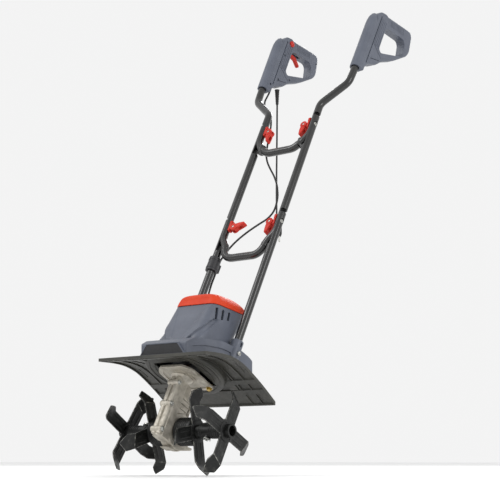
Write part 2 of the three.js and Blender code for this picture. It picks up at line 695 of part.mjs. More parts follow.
function handles() {
  handleShells("right", 1, []);
  const triggerRoom = prismX([[36, 176], [75, 178], [98, 203], [90, 219], [36, 212]], [-5, 5]);
  const pinBore = rod("x", 2.3, [-8.3, 8.3], triggerPivot, 12);
  const buttonBore = rod("x", 9 + gap, [0, 30], buttonPlace, 20);
  const cableBore = rod("z", cordRadius + 1.2, [-10, 50], [6, 24], 12);
  const frame = handleShells("left", -1, [triggerRoom, pinBore, buttonBore, cableBore]);

  const paddle = [
    [47, 186], [59, 192], [79, 196], [102, 184], [104, 178], [98, 175], [79, 184], [61, 182], [49, 178],
  ];
  const pivotHole = rod("x", 2.4, [-10, 10], triggerPivot, 12);
  add(frame, "trigger", leverRed, cut(prismX(paddle, [-4.4, 4.4]), pivotHole));
  add(frame, "trigger_pin", steel, rod("x", 2, [-8, 8], triggerPivot, 12));

  const button = join(rod("x", 9, [12, gripHalf + 4], [0, 0], 20), rod("x", 5, [6, 13], [0, 0], 12));
  add(frame, "lock_button", leverRed, button).position.set(0, ...buttonPlace);

  const block = box([-9, 9], [10, 34], [110, 158]);
  add(frame, "switch_block", blackPlastic, block);
}

// ---------------------------------------------------------------- cords
// The motor cable, as points of the leaning frame, from the switch handle down to the motor housing.
const cableUpper = [
  [-151, 36, 1137], [-150.3, 36, 1107], [-149.5, 34, 1090], [-146.5, 29, 1066], [-138, 26, 1044],
  [-120, 25, 1020], [-102, 25, 998], [-88, 24, 970], [-79, 24, 936], [-73, 24, 902], [-67, 25, 868],
  [-61, 26, 845], [-50, 28, 822], [-34, 30, 799], [-16, 31, 776], [0, 32, 752], [13, 32, 728],
];
const cableLower = [
  [13, 32, 727], [23, 31, 704], [30, 29, 681], [33, 28, 659], [31, 27, 640], [20, 27, 624],
  [0, 27, 611], [-21, 27, 597], [-42, 27, 580], [-58, 26, 562], [-69, 25, 544], [-78, 24, 523],
  [-84.5, 23.5, 502], [-85, 23.5, 478], [-85, 23.5, 454], [-85, 23.5, 430], [-82, 24, 396],
  [-76, 29, 350], [-62, 33, 322], [-50, 34, 302], [-45, 28, 293], [-45, 18, 292],
];
// The supply cord, in the tiller's own frame: it hangs straight down from the switch handle's boot.
const bootTop = [-157, 592, 1080];
const bootLength = 44;
const plugTop = 696;
const supplyRoute = [
  [-157, 592, bootTop[2] - bootLength - gap], [-157, 591.5, 1000], [-156.5, 590, 950], [-156, 588, 890],
  [-155.5, 586, 830], [-155.5, 585.5, 790], [-156, 586, 756], [-156.5, 587, 722], [-157, 587, plugTop + gap],
];

function cords() {
  add(leaning, "motor_cable_upper", rubber, sweep(smooth(cableUpper), cordRadius, 8, 34));
  add(leaning, "motor_cable_lower", rubber, sweep(smooth(cableLower), cordRadius, 8, 44));
  const boot = turned("z", [[0, -bootLength], [4.2, -bootLength], [6, -16], [7, -3], [7, 0], [0, 0]], 16);
  add(machine, "supply_boot", rubber, boot).position.set(...bootTop);
  add(machine, "supply_cord", rubber, sweep(smooth(supplyRoute), cordRadius, 8, 30));
  const profile = [[0, 0], [4.5, 0], [6, -6], [12, -12], [15, -18], [15, -36], [12, -44], [0, -44]];
  const plugBody = turned("z", profile.reverse(), 20);
  const pins = [-9.5, 9.5].map((x) => rod("z", 2.4, [-61, -43], [x, 0], 8));
  const plug = add(machine, "supply_plug", rubber, join(plugBody, ...pins));
  plug.position.set(-157, 587, plugTop);
}

gearcase();
motorFlange();
shield();
housing();
motor();
tineAxle();
tines();
lowerTubes();
middleBar();
upperBar();
clamps();
cableClip();
handles();
const extent = new THREE.Box3().setFromObject(machine, true);
cords();
machine.position.set(0, -(extent.min.y + extent.max.y) / 2, -extent.min.z);

export default tiller;
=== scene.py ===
"""Looks of the folding electric tiller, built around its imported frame.

Shapes are drawn in millimetres in two frames of the machine: GROUND, upright, whose origin is on the ground
under the middle of the tine axle, and LEAN, which leans back with the motor shaft and the handlebar and has
its origin in the axle. Front is -Y, up is +Z, right is +X.
"""
import json
import math

import bmesh
import bpy
from mathutils import Matrix, Vector


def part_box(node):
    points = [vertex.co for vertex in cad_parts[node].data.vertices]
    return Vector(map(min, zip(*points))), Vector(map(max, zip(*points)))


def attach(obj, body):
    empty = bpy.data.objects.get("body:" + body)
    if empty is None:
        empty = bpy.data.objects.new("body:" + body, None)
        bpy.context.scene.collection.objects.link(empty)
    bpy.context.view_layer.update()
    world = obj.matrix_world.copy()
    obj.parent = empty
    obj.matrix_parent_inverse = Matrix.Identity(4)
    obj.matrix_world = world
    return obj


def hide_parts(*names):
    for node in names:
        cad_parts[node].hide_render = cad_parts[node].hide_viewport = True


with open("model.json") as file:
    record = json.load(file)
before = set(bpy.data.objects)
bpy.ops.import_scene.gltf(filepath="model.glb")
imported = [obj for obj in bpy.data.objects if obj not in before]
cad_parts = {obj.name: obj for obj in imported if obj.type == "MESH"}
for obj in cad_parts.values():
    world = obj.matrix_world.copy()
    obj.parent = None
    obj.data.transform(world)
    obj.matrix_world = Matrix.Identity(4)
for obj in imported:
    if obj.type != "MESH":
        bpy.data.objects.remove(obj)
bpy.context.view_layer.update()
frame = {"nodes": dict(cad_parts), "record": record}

RECORD = frame["record"]
SLOT_OF = {row["node"]: row["material_slot"] for row in RECORD["subparts"]}
BODY_OF = {node: body for body, nodes in RECORD["behaviour"]["bodies"].items() for node in nodes}

# ---------------------------------------------------------------- frames and driving sizes
shaft_low, shaft_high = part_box("tine_shaft")
AXLE = (Vector(shaft_low) + Vector(shaft_high)) / 2
AXLE_HEIGHT = 99
LEAN_ANGLE = 0.485
MM = Matrix.Scale(0.001, 4)
GROUND = Matrix.Translation(AXLE) @ MM @ Matrix.Translation((0, 0, -AXLE_HEIGHT))
LEAN = Matrix.Translation(AXLE) @ Matrix.Rotation(-LEAN_ANGLE, 4, "X") @ MM
LEAN_TO_GROUND = GROUND.inverted() @ LEAN
GROUND_TO_LEAN = LEAN_TO_GROUND.inverted()
LEAN_FREE = Matrix.Translation(AXLE) @ MM

GAP = 0.3
WORM_Y = -40
FLANGE = (118, 125)
BAR_X = 85
BAR_Y = 6
TUBE = 10
LOWER_PIVOT = 590
UPPER_PIVOT = 908
NEST = 32
ARCH_X = 63.5
GRIP_X = 156
GRIP_Z = 1097
SPLAY = math.radians(1.5)
HUB_TUBE = 15.5
CORD_RADIUS = 2.5
SCREW_HOLE = 3.3
SOCKET_SCREW_Z = 205
SIDES = (("right", 1), ("left", -1))


# ---------------------------------------------------------------- mesh tools
SCRAP = []


def raw(verts, faces):
    mesh = bpy.data.meshes.new("solid")
    mesh.from_pydata([tuple(v) for v in verts], [], faces)
    work = bmesh.new()
    work.from_mesh(mesh)
    bmesh.ops.remove_doubles(work, verts=work.verts, dist=1e-4)
    bmesh.ops.recalc_face_normals(work, faces=work.faces)
    work.to_mesh(mesh)
    work.free()
    obj = bpy.data.objects.new("solid", mesh)
    bpy.context.scene.collection.objects.link(obj)
    return obj


def moved(obj, matrix):
    obj.data.transform(matrix)
    return obj


def merged(*parts):
    """Separate closed solids as one object, made before any of them has a modifier."""
    verts, faces = [], []
    for part in parts:
        start = len(verts)
        verts += [v.co.copy() for v in part.data.vertices]
        faces += [tuple(start + i for i in p.vertices) for p in part.data.polygons]
        SCRAP.append(part)
    return raw(verts, faces)


def bevel(obj, width, segments=3, edge_slot=0):
    rounding = obj.modifiers.new("bevel", "BEVEL")
    rounding.width = width
    rounding.segments = segments
    rounding.limit_method = "ANGLE"
    rounding.angle_limit = math.radians(38)
    if edge_slot:
        rounding.material = edge_slot
    return obj


def combine(base, operation, tools):
    for tool in tools:
        step = base.modifiers.new(operation, "BOOLEAN")
        step.operation = operation
        step.solver = "EXACT"
        step.object = tool
        SCRAP.append(tool)
    return base


def cut(base, *tools):
    return combine(base, "DIFFERENCE", tools)


def join(base, *tools):
    return combine(base, "UNION", tools)


def common(base, *tools):
    return combine(base, "INTERSECT", tools)


def span(side, a, b):
    """The stretch from a to b on the right, or its mirror image on the left."""
    return sorted((side * a, side * b))


def facing(side):
    """No turn for the right side, half a turn about Z for the left."""
    return Matrix.Rotation(0 if side > 0 else math.pi, 4, "Z")


def tipped(obj):
    """A shape drawn in LEAN, put where it stands in GROUND."""
    return moved(obj, LEAN_TO_GROUND)


PUT = {
    "x": lambda a, b, h: (h, a, b),
    "y": lambda a, b, h: (a, h, b),
    "z": lambda a, b, h: (a, b, h),
}


def prism(axis, points, low, high):
    """An outline of (a, b) points raised along an axis. The points are in the two other axes, in order."""
    put = PUT[axis]
    count = len(points)
    verts = [put(a, b, h) for h in (low, high) for a, b in points]
    faces = [tuple(range(count)), tuple(range(count, 2 * count))]
    for i in range(count):
        j = (i + 1) % count
        faces.append((i, j, count + j, count + i))
    return raw(verts, faces)


def block(x, y, z):
    return prism("z", [(x[0], y[0]), (x[1], y[0]), (x[1], y[1]), (x[0], y[1])], z[0], z[1])


def lathe(axis, profile, sides=48, centre=(0, 0)):
    """A turned solid: (radius, height) points, revolved about a line along an axis."""
    put = PUT[axis]
    verts, faces = [], []
    for radius, height in profile:
        for i in range(sides):
            turn = 2 * math.pi * i / sides
            a = centre[0] + radius * math.cos(turn)
            b = centre[1] + radius * math.sin(turn)
            verts.append(put(a, b, height))
    closed = profile[0] == profile[-1]
    for r in range(len(profile) - 1):
        for i in range(sides):
            j = (i + 1) % sides
            faces.append((r * sides + i, r * sides + j, (r + 1) * sides + j, (r + 1) * sides + i))
    if not closed:
        faces.append(tuple(range(sides)))
        faces.append(tuple(range((len(profile) - 1) * sides, len(profile) * sides)))
    return raw(verts, faces)


def rod(axis, radius, low, high, centre=(0, 0), sides=40):
    return lathe(axis, [(radius, low), (radius, high)], sides, centre)


def loft(rings):
    count = len(rings[0])
    verts = [point for ring in rings for point in ring]
    faces = [tuple(range(count)), tuple(range((len(rings) - 1) * count, len(rings) * count))]
    for r in range(len(rings) - 1):
        for i in range(count):
            j = (i + 1) % count
            faces.append((r * count + i, r * count + j, (r + 1) * count + j, (r + 1) * count + i))
    return raw(verts, faces)


def sweep(path, radius, sides=24):
    """A round bar along a list of points. radius may be a function of the distance along it."""
    points = [Vector(p) for p in path]
    tangents = []
    for i in range(len(points)):
        tangents.append((points[min(i + 1, len(points) - 1)] - points[max(i - 1, 0)]).normalized())
    across = tangents[0].orthogonal().normalized()
    rings = []
    distance = 0
    for i, point in enumerate(points):
        if i:
            across = (across - tangents[i] * across.dot(tangents[i])).normalized()
            distance += (point - points[i - 1]).length
        other = tangents[i].cross(across)
        r = radius(distance) if callable(radius) else radius
        ring = []
        for k in range(sides):
            turn = 2 * math.pi * k / sides
            ring.append(point + r * (math.cos(turn) * across + math.sin(turn) * other))
        rings.append(ring)
    return loft(rings)


def rounded(points, radius, steps=5, closed=True):
    """The same outline with its corners rounded."""
    corners = [Vector(p) for p in points]
    count = len(corners)
    result = []
    for i, corner in enumerate(corners):
        if not closed and i in (0, count - 1):
            result.append(corner)
            continue
        before = corners[i - 1] - corner
        after = corners[(i + 1) % count] - corner
        a = corner + before.normalized() * min(radius, 0.45 * before.length)
        b = corner + after.normalized() * min(radius, 0.45 * after.length)
        for k in range(steps + 1):
            t = k / steps
            result.append((1 - t) ** 2 * a + 2 * t * (1 - t) * corner + t * t * b)
    return result


def smooth_route(points, steps):
    """A centripetal Catmull-Rom curve through the points."""
    inner = [Vector(p) for p in points]
    line = [2 * inner[0] - inner[1], *inner, 2 * inner[-1] - inner[-2]]
    route = []
    for p0, p1, p2, p3 in zip(line, line[1:], line[2:], line[3:]):
        d0, d1, d2 = (math.sqrt((b - a).length) for a, b in ((p0, p1), (p1, p2), (p2, p3)))
        m1 = ((p1 - p0) / d0 - (p2 - p0) / (d0 + d1) + (p2 - p1) / d1) * d1
        m2 = ((p2 - p1) / d1 - (p3 - p1) / (d1 + d2) + (p3 - p2) / d2) * d1
        for k in range(steps):
            t = k / steps
            spread = (2 * t**3 - 3 * t**2 + 1, t**3 - 2 * t**2 + t, -2 * t**3 + 3 * t**2, t**3 - t**2)
            route.append(spread[0] * p1 + spread[1] * m1 + spread[2] * p2 + spread[3] * m2)
    route.append(inner[-1])
    return route


def piece(name, shape, place, *nodes, looks=None, body=None, slot=None, sharp=32):
    """Bakes a shape's modifiers, moves it to its place in metres and rides it on its body."""
    looks = looks or LOOKS[slot or SLOT_OF[nodes[0]]]
    graph = bpy.context.evaluated_depsgraph_get()
    mesh = bpy.data.meshes.new_from_object(shape.evaluated_get(graph))
    mesh.name = name
    mesh.transform(place)
    slots = [0] * len(mesh.polygons)
    mesh.polygons.foreach_get("material_index", slots)
    mesh.materials.clear()
    for look in looks if isinstance(looks, tuple) else (looks,):
        mesh.materials.append(look)
    mesh.polygons.foreach_set("material_index", slots)
    mesh.polygons.foreach_set("use_smooth", [True] * len(mesh.polygons))
    mesh.set_sharp_from_angle(angle=math.radians(sharp))
    obj = bpy.data.objects.new(name, mesh)
    bpy.context.scene.collection.objects.link(obj)
    normals = obj.modifiers.new("face weighted normals", "WEIGHTED_NORMAL")
    normals.keep_sharp = True
    for used in [shape, *SCRAP]:
        bpy.data.objects.remove(used)
    SCRAP.clear()
    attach(obj, body or BODY_OF[nodes[0]])
    if nodes:
        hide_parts(*nodes)
    return obj


# ---------------------------------------------------------------- materials
def tone(value):
    """A colour written as 0xRRGGBB, as linear light."""
    channels = [(value >> shift & 255) / 255 for shift in (16, 8, 0)]
    return [c / 12.92 if c <= 0.04045 else ((c + 0.055) / 1.055) ** 2.4 for c in channels] + [1]


class Look:
    """A Principled material whose colour, roughness and relief come from noise in object space."""

    def __init__(self, name, metallic=0.0, coat=0.0, specular=0.5):
        self.material = bpy.data.materials.new(name)
        self.material.use_nodes = True
        self.tree = self.material.node_tree
        self.shader = self.tree.nodes["Principled BSDF"]
        self.shader.inputs["Metallic"].default_value = metallic
        self.shader.inputs["Coat Weight"].default_value = coat
        self.shader.inputs["Coat Roughness"].default_value = 0.2
        self.shader.inputs["Specular IOR Level"].default_value = specular
        self.space = self.tree.nodes.new("ShaderNodeTexCoord").outputs["Object"]

    def link(self, source, target):
        self.tree.links.new(source, target)

    def noise(self, scale, detail=4.0, stretch=None):
        texture = self.tree.nodes.new("ShaderNodeTexNoise")
        texture.inputs["Scale"].default_value = scale
        texture.inputs["Detail"].default_value = detail
        source = self.space
        if stretch:
            mapping = self.tree.nodes.new("ShaderNodeMapping")
            mapping.inputs["Scale"].default_value = stretch
            self.link(self.space, mapping.inputs["Vector"])
            source = mapping.outputs["Vector"]
        self.link(source, texture.inputs["Vector"])
        return texture.outputs["Fac"]

    def cells(self, scale):
        texture = self.tree.nodes.new("ShaderNodeTexVoronoi")
        texture.inputs["Scale"].default_value = scale
        self.link(self.space, texture.inputs["Vector"])
        return texture.outputs["Distance"]

    def ramp(self, factor, stops):
        node = self.tree.nodes.new("ShaderNodeValToRGB")
        while len(node.color_ramp.elements) < len(stops):
            node.color_ramp.elements.new(0.5)
        for element, (place, colour) in zip(node.color_ramp.elements, stops):
            element.position = place
            element.color = colour
        self.link(factor, node.inputs["Fac"])
        return node.outputs["Color"]

    def spread(self, factor, low, high, ends=(0.3, 0.7)):
        node = self.tree.nodes.new("ShaderNodeMapRange")
        node.inputs["From Min"].default_value = ends[0]
        node.inputs["From Max"].default_value = ends[1]
        node.inputs["To Min"].default_value = low
        node.inputs["To Max"].default_value = high
        self.link(factor, node.inputs["Value"])
        return node.outputs["Result"]

    def colour(self, factor, stops):
        self.link(self.ramp(factor, stops), self.shader.inputs["Base Color"])

    def roughness(self, factor, low, high):
        self.link(self.spread(factor, low, high), self.shader.inputs["Roughness"])

    def relief(self, *layers):
        """Layers of (height, depth in metres), each bump on top of the one before."""
        normal = None
        for height, depth in layers:
            bump = self.tree.nodes.new("ShaderNodeBump")
            bump.inputs["Strength"].default_value = 1.0
            bump.inputs["Distance"].default_value = depth
            self.link(height, bump.inputs["Height"])
            if normal:
                self.link(normal, bump.inputs["Normal"])
            normal = bump.outputs["Normal"]
        self.link(normal, self.shader.inputs["Normal"])


def plastic(name, dark, light, rough, grain_depth, grain=1400, specular=0.5):
    """Moulded plastic: a fine pebbled grain, faint flow marks and slight dust in its colour."""
    look = Look(name, specular=specular)
    look.colour(look.noise(22, 5), [(0.3, tone(dark)), (0.7, tone(light))])
    look.roughness(look.noise(140, 6), rough - 0.05, rough + 0.09)
    look.relief((look.noise(60, 2), 0.00006), (look.cells(grain), grain_depth))
    return look.material


def metal(name, dark, light, rough, metallic=0.9, grain=500, depth=0.00003, stretch=None):
    """Plated, ground or cast metal."""
    look = Look(name, metallic=metallic)
    look.colour(look.noise(45, 6), [(0.3, tone(dark)), (0.72, tone(light))])
    look.roughness(look.noise(190, 5, stretch), rough - 0.07, rough + 0.12)
    look.relief((look.noise(grain, 5, stretch), depth))
    return look.material


def powder_coat():
    """Semi-gloss black powder coat with a fine orange peel and rubbed lighter specks."""
    look = Look("black_powder_coat", coat=0.35)
    look.colour(look.noise(50, 4), [(0.3, tone(0x111111)), (0.6, tone(0x171717)), (0.8, tone(0x1e1d1c))])
    look.roughness(look.noise(30, 3), 0.24, 0.3)
    look.relief((look.noise(160, 2), 0.000006))
    return look.material


def tine_paint():
    """Black paint, worn towards the blade tips and scuffed in streaks."""
    look = Look("tine_paint", metallic=0.25)
    nodes = look.tree.nodes
    steps = []
    for operation in ("SUBTRACT", "MULTIPLY", "LENGTH"):
        step = nodes.new("ShaderNodeVectorMath")
        step.operation = operation
        look.link(steps[-1].outputs[0] if steps else look.space, step.inputs[0])
        steps.append(step)
    steps[0].inputs[1].default_value = AXLE
    steps[1].inputs[1].default_value = (0, 1, 1)
    tip = look.spread(steps[2].outputs["Value"], 0.0, 0.12, (0.06, 0.115))
    scuffs = nodes.new("ShaderNodeMath")
    scuffs.operation = "ADD"
    look.link(tip, scuffs.inputs[0])
    look.link(look.noise(120, 9, (1.0, 0.45, 0.45)), scuffs.inputs[1])
    stops = [(0.4, tone(0x0f100f)), (0.6, tone(0x191a19)), (0.72, tone(0x2d2d2b)), (0.84, tone(0x55544f))]
    look.colour(scuffs.outputs[0], stops)
    look.roughness(look.noise(160, 6), 0.34, 0.58)
    look.relief((look.noise(300, 6), 0.00012))
    return look.material


def worn_edge():
    """Bare grey steel where the paint has gone from the blade edges, with paint left in patches."""
    look = Look("worn_edge", metallic=0.55)
    stops = [(0.36, tone(0x242523)), (0.5, tone(0x6a6a66)), (0.68, tone(0xa8a7a0))]
    look.colour(look.noise(150, 8), stops)
    look.roughness(look.noise(200, 5), 0.32, 0.5)
    look.relief((look.noise(400, 5), 0.0001))
    return look.material


def cast_metal():
    """Warm grey sand-cast aluminium with fine pits and darker patches."""
    look = Look("cast_aluminium", metallic=0.55)
    stops = [(0.25, tone(0x9a9487)), (0.5, tone(0xbab4a8)), (0.75, tone(0xcfcabe))]
    look.colour(look.noise(70, 8), stops)
    look.roughness(look.noise(150, 5), 0.38, 0.6)
    look.relief((look.noise(110, 3), 0.00025), (look.cells(1100), 0.00022))
    return look.material


LOOKS = {
    "cast_aluminium": cast_metal(),
    "blue_grey_plastic": plastic("blue_grey_plastic", 0x4f5460, 0x5a5f6b, 0.42, 0.00005),
    "orange_plastic": plastic("orange_plastic", 0xc43618, 0xd0421f, 0.5, 0.00002, specular=0.2),
    "red_plastic": plastic("red_plastic", 0xb3261b, 0xc03023, 0.46, 0.00002, specular=0.25),
    "black_plastic": plastic("black_plastic", 0x1a1a1c, 0x26262a, 0.46, 0.00005),
    "shield_plastic": plastic("shield_plastic", 0x2f2f2b, 0x3d3c36, 0.48, 0.00008, grain=900),
    "black_tube": powder_coat(),
    "black_paint": tine_paint(),
    "zinc": metal("zinc", 0xa9a9a4, 0xd0d0cb, 0.28),
    "brass_screw": metal("brass_screw", 0xa88a3c, 0xd2b565, 0.3),
    "steel": metal("steel", 0x77797c, 0xa6a8aa, 0.32, stretch=(1, 1, 14)),
    "copper": metal("copper", 0x8e4f2c, 0xc07a4c, 0.35, stretch=(1, 1, 20)),
    "bronze": metal("bronze", 0x92672c, 0xbd9250, 0.36),
    "rubber": plastic("rubber", 0x141414, 0x222222, 0.62, 0.00004, grain=1800),
}
WORN_EDGE = worn_edge()
# Near-black plastic used only as painted shade: the dark inside of the housing seen through its vents.
PAINTED_SHADE_PLASTIC = plastic("painted_shade_plastic", 0x0c0c0d, 0x151516, 0.7, 0.00003)


# ---------------------------------------------------------------- camera, light and floor
def camera():
    back = Vector((0.6134, -0.7712, -0.1702)).normalized()
    right = Vector((0.7826, 0.6225, 0)).normalized()
    up = back.cross(right)
    data = bpy.data.cameras.new("camera")
    data.lens = 87.25
    data.sensor_width = 36
    data.clip_end = 100
    obj = bpy.data.objects.new("camera", data)
    turn = Matrix((right, up, back)).transposed().to_4x4()
    obj.matrix_world = Matrix.Translation((1.86219, -2.41594, 0.03839)) @ turn
    bpy.context.scene.collection.objects.link(obj)
    bpy.context.scene.camera = obj


def soft_light(name, place, size, power):
    data = bpy.data.lights.new(name, "AREA")
    data.shape = "RECTANGLE"
    data.size, data.size_y = size
    data.energy = power
    obj = bpy.data.objects.new(name, data)
    obj.location = place
    aim = Vector((0, 0, 0.55)) - Vector(place)
    obj.rotation_euler = aim.to_track_quat("-Z", "Y").to_euler()
    bpy.context.scene.collection.objects.link(obj)


def studio():
    bpy.context.scene.view_settings.view_transform = "Standard"
    world = bpy.data.worlds.new("studio")
    world.use_nodes = True
    backdrop = world.node_tree.nodes["Background"]
    backdrop.inputs["Color"].default_value = (1, 1, 1, 1)
    backdrop.inputs["Strength"].default_value = 0.9
    bpy.context.scene.world = world
    soft_light("key_light", (-1.6, -2.6, 3.2), (1.6, 1.6), 52)
    soft_light("side_light", (3.2, -0.4, 1.8), (0.9, 2.2), 30)
    soft_light("rim_light", (-1.2, 3.0, 2.4), (1.8, 1.0), 40)
    half = 9
    floor = raw([(-half, -half, 0), (half, -half, 0), (half, half, 0), (-half, half, 0)], [(0, 1, 2, 3)])
    floor.name = "floor"
    paint = Look("floor_paint")
    paint.colour(paint.noise(3, 3), [(0.3, (0.86, 0.86, 0.86, 1)), (0.7, (0.9, 0.9, 0.9, 1))])
    paint.roughness(paint.noise(8, 3), 0.7, 0.85)
    paint.relief((paint.noise(180, 3), 0.00005))
    floor.data.materials.append(paint.material)


# ---------------------------------------------------------------- cords
CABLE_UPPER = [
    (-151, 36, 1137), (-150.3, 36, 1107), (-149.5, 34, 1090), (-146.5, 29, 1066), (-138, 26, 1044),
    (-120, 25, 1020), (-102, 25, 998), (-88, 24, 970), (-79, 24, 936), (-73, 24, 902), (-67, 25, 868),
    (-61, 26, 845), (-50, 28, 822), (-34, 30, 799), (-16, 31, 776), (0, 32, 752), (13, 32, 728),
]
CABLE_LOWER = [
    (13, 32, 727), (23, 31, 704), (30, 29, 681), (33, 28, 659), (31, 27, 640), (20, 27, 624),
    (0, 27, 611), (-21, 27, 597), (-42, 27, 580), (-58, 26, 562), (-69, 25, 544), (-78, 24, 523),
    (-84.5, 23.5, 502), (-85, 23.5, 478), (-85, 23.5, 454), (-85, 23.5, 430), (-82, 24, 396),
    (-76, 29, 350), (-62, 33, 322), (-50, 34, 302), (-45, 28, 293), (-45, 18, 292),
]
BOOT_TOP = Vector((-157, 592, 1080))
BOOT_LENGTH = 44
PLUG_TOP = 696
SUPPLY_ROUTE = [
    (-157, 592, 1080 - BOOT_LENGTH - GAP), (-157, 591.5, 1000), (-156.5, 590, 950), (-156, 588, 890),
    (-155.5, 586, 830), (-155.5, 585.5, 790), (-156, 586, 756), (-156.5, 587, 722),
    (-157, 587, PLUG_TOP + GAP),
]


def cords():
    for name, points in (("motor_cable_upper", CABLE_UPPER), ("motor_cable_lower", CABLE_LOWER)):
        piece(f"{name}_lead", sweep(smooth_route(points, 6), CORD_RADIUS, 14), LEAN, name)

    profile = [(0.5, -BOOT_LENGTH), (4.0, -BOOT_LENGTH)]
    ring_count = 7
    for i in range(ring_count):
        low = -BOOT_LENGTH + 3 + 5 * i
        r = 4.2 + 2.0 * i / ring_count
        profile += [(r - 0.6, low), (r + 0.3, low + 0.8), (r + 0.3, low + 3.0), (r - 0.5, low + 3.8)]
    profile += [(6.6, -3.6), (7, -2.6), (7, -0.6), (6.4, 0), (0.5, 0)]
    boot = lathe("z", profile, 32)
    piece("supply_boot_ribbed", boot, GROUND @ Matrix.Translation(BOOT_TOP), "supply_boot")

    place = GROUND @ Matrix.Translation((-157, 587, PLUG_TOP))
    profile = [(0.5, 0), (4.2, 0), (4.6, -0.6), (6, -6), (11, -11), (14.4, -16), (15, -19)]
    for i in range(5):
        z = -21 - 2.6 * i
        profile += [(15, z), (14.2, z - 0.5), (14.2, z - 1.2), (15, z - 1.7)]
    profile += [(14.6, -37), (12.6, -43.2), (11.8, -44), (0.5, -44)]
    plug = piece("supply_plug_body", lathe("z", profile, 40), place, "supply_plug")
    pin = [(0.4, -61), (1.6, -60.6), (2.4, -59), (2.4, -43), (0.4, -43)]
    pins = merged(*[lathe("z", pin, 24, (x, 0)) for x in (-9.5, 9.5)])
    pins = piece("supply_plug_pins", pins, place, body=BODY_OF["supply_plug"], slot="zinc")

    route = smooth_route(SUPPLY_ROUTE, 4)
    cord = piece("supply_lead", sweep(route, CORD_RADIUS, 16), GROUND, "supply_cord")


# ---------------------------------------------------------------- gearcase
RIDGE_Y = WORM_Y - 18
CASE_HALF = 15
SCREW_HEIGHTS = (("case_screw_top", 96), ("case_screw_middle", 41), ("case_screw_bottom", -24))
FOOT = [(-40, 66), (-18, 57), (34, 57), (40, 58.5), (40, 62), (26, 66), (20, 72)]


def gearcase_half(name, side):
    """One cast half: a rounded rail over the worm, round wheel case, web and foot."""
    low, high = span(side, GAP / 2, 60)
    half = block((low, high), (-130, 130), (-95, 145))
    column = rod("z", 18, -37, 112.5, (0, WORM_Y), 56)
    column = common(column, block((-14.7, 14.7), (-90, 60), (-70, 130)))
    wheel_case = bevel(rod("x", 42, -CASE_HALF, CASE_HALF, (0, 0), 72), 2.5)
    rim = bevel(rod("x", 44, -3.4, 3.4, (0, 0), 72), 1)
    neck_top = FLANGE[0] - GAP
    neck = lathe("z", [(0.5, 95), (12, 95), (15, 105), (26, 116), (26, neck_top), (0.5, neck_top)], 56)
    moved(neck, Matrix.Translation((0, WORM_Y, 0)))
    web = bevel(prism("x", rounded([(-30, 112), (-12, 112), (16, 84), (18, 30), (-30, 30)], 6), -6, 6), 1.2)
    rail = [(side * 1.2, -62), (side * 13.7, -62), (side * 14.3, -36), (side * 1.2, -36)]
    rail = bevel(prism("z", rounded(rail, 5.5), -35, 111), 1.6)
    foot = moved(prism("x", rounded(FOOT, 3), -13, 13), GROUND_TO_LEAN)
    rib_places = (50, 62, 74)
    ribs = merged(*[prism("x", [(-22, z), (14, z), (14, z + 1.6), (-22, z + 1.6)], -8.2, 8.2)
                    for z in rib_places])
    body = join(column, wheel_case, rim, neck, web, rail, bevel(foot, 1), ribs)
    for _, z in SCREW_HEIGHTS:
        join(body, bevel(rod("x", 7.4, -15.2, 15.2, (RIDGE_Y, z), 32), 1.2))
    rooms = [
        rod("z", 11.4, -30, 90, (0, WORM_Y), 24),
        rod("z", 7, 80, 130, (0, WORM_Y), 24),
        rod("x", 35, -11, 11, (0, 0), 40),
        rod("x", 11.3, -60, 60, (0, 0), 40),
        prism("x", rounded([(6, 82), (12, 78), (12, 46), (6, 44)], 2.4), -14, 14),
        merged(*[rod("x", 3.2, -30, 30, (RIDGE_Y, z), 20) for _, z in SCREW_HEIGHTS]),
    ]
    cut(body, *rooms)
    common(body, half)
    piece(f"{name}_casting", body, LEAN, name)


def socket_head(axis, radius, low, high, hex_radius):
    """A screw head with a rounded rim and a hexagon socket in its outer end."""
    rim = min(1.2, radius / 4)
    profile = [(0.3, low), (radius, low), (radius, high - rim), (radius - rim, high), (0.3, high)]
    head = lathe(axis, profile, 32)
    return cut(head, rod(axis, hex_radius, high - 2, high + 2, (0, 0), 6))


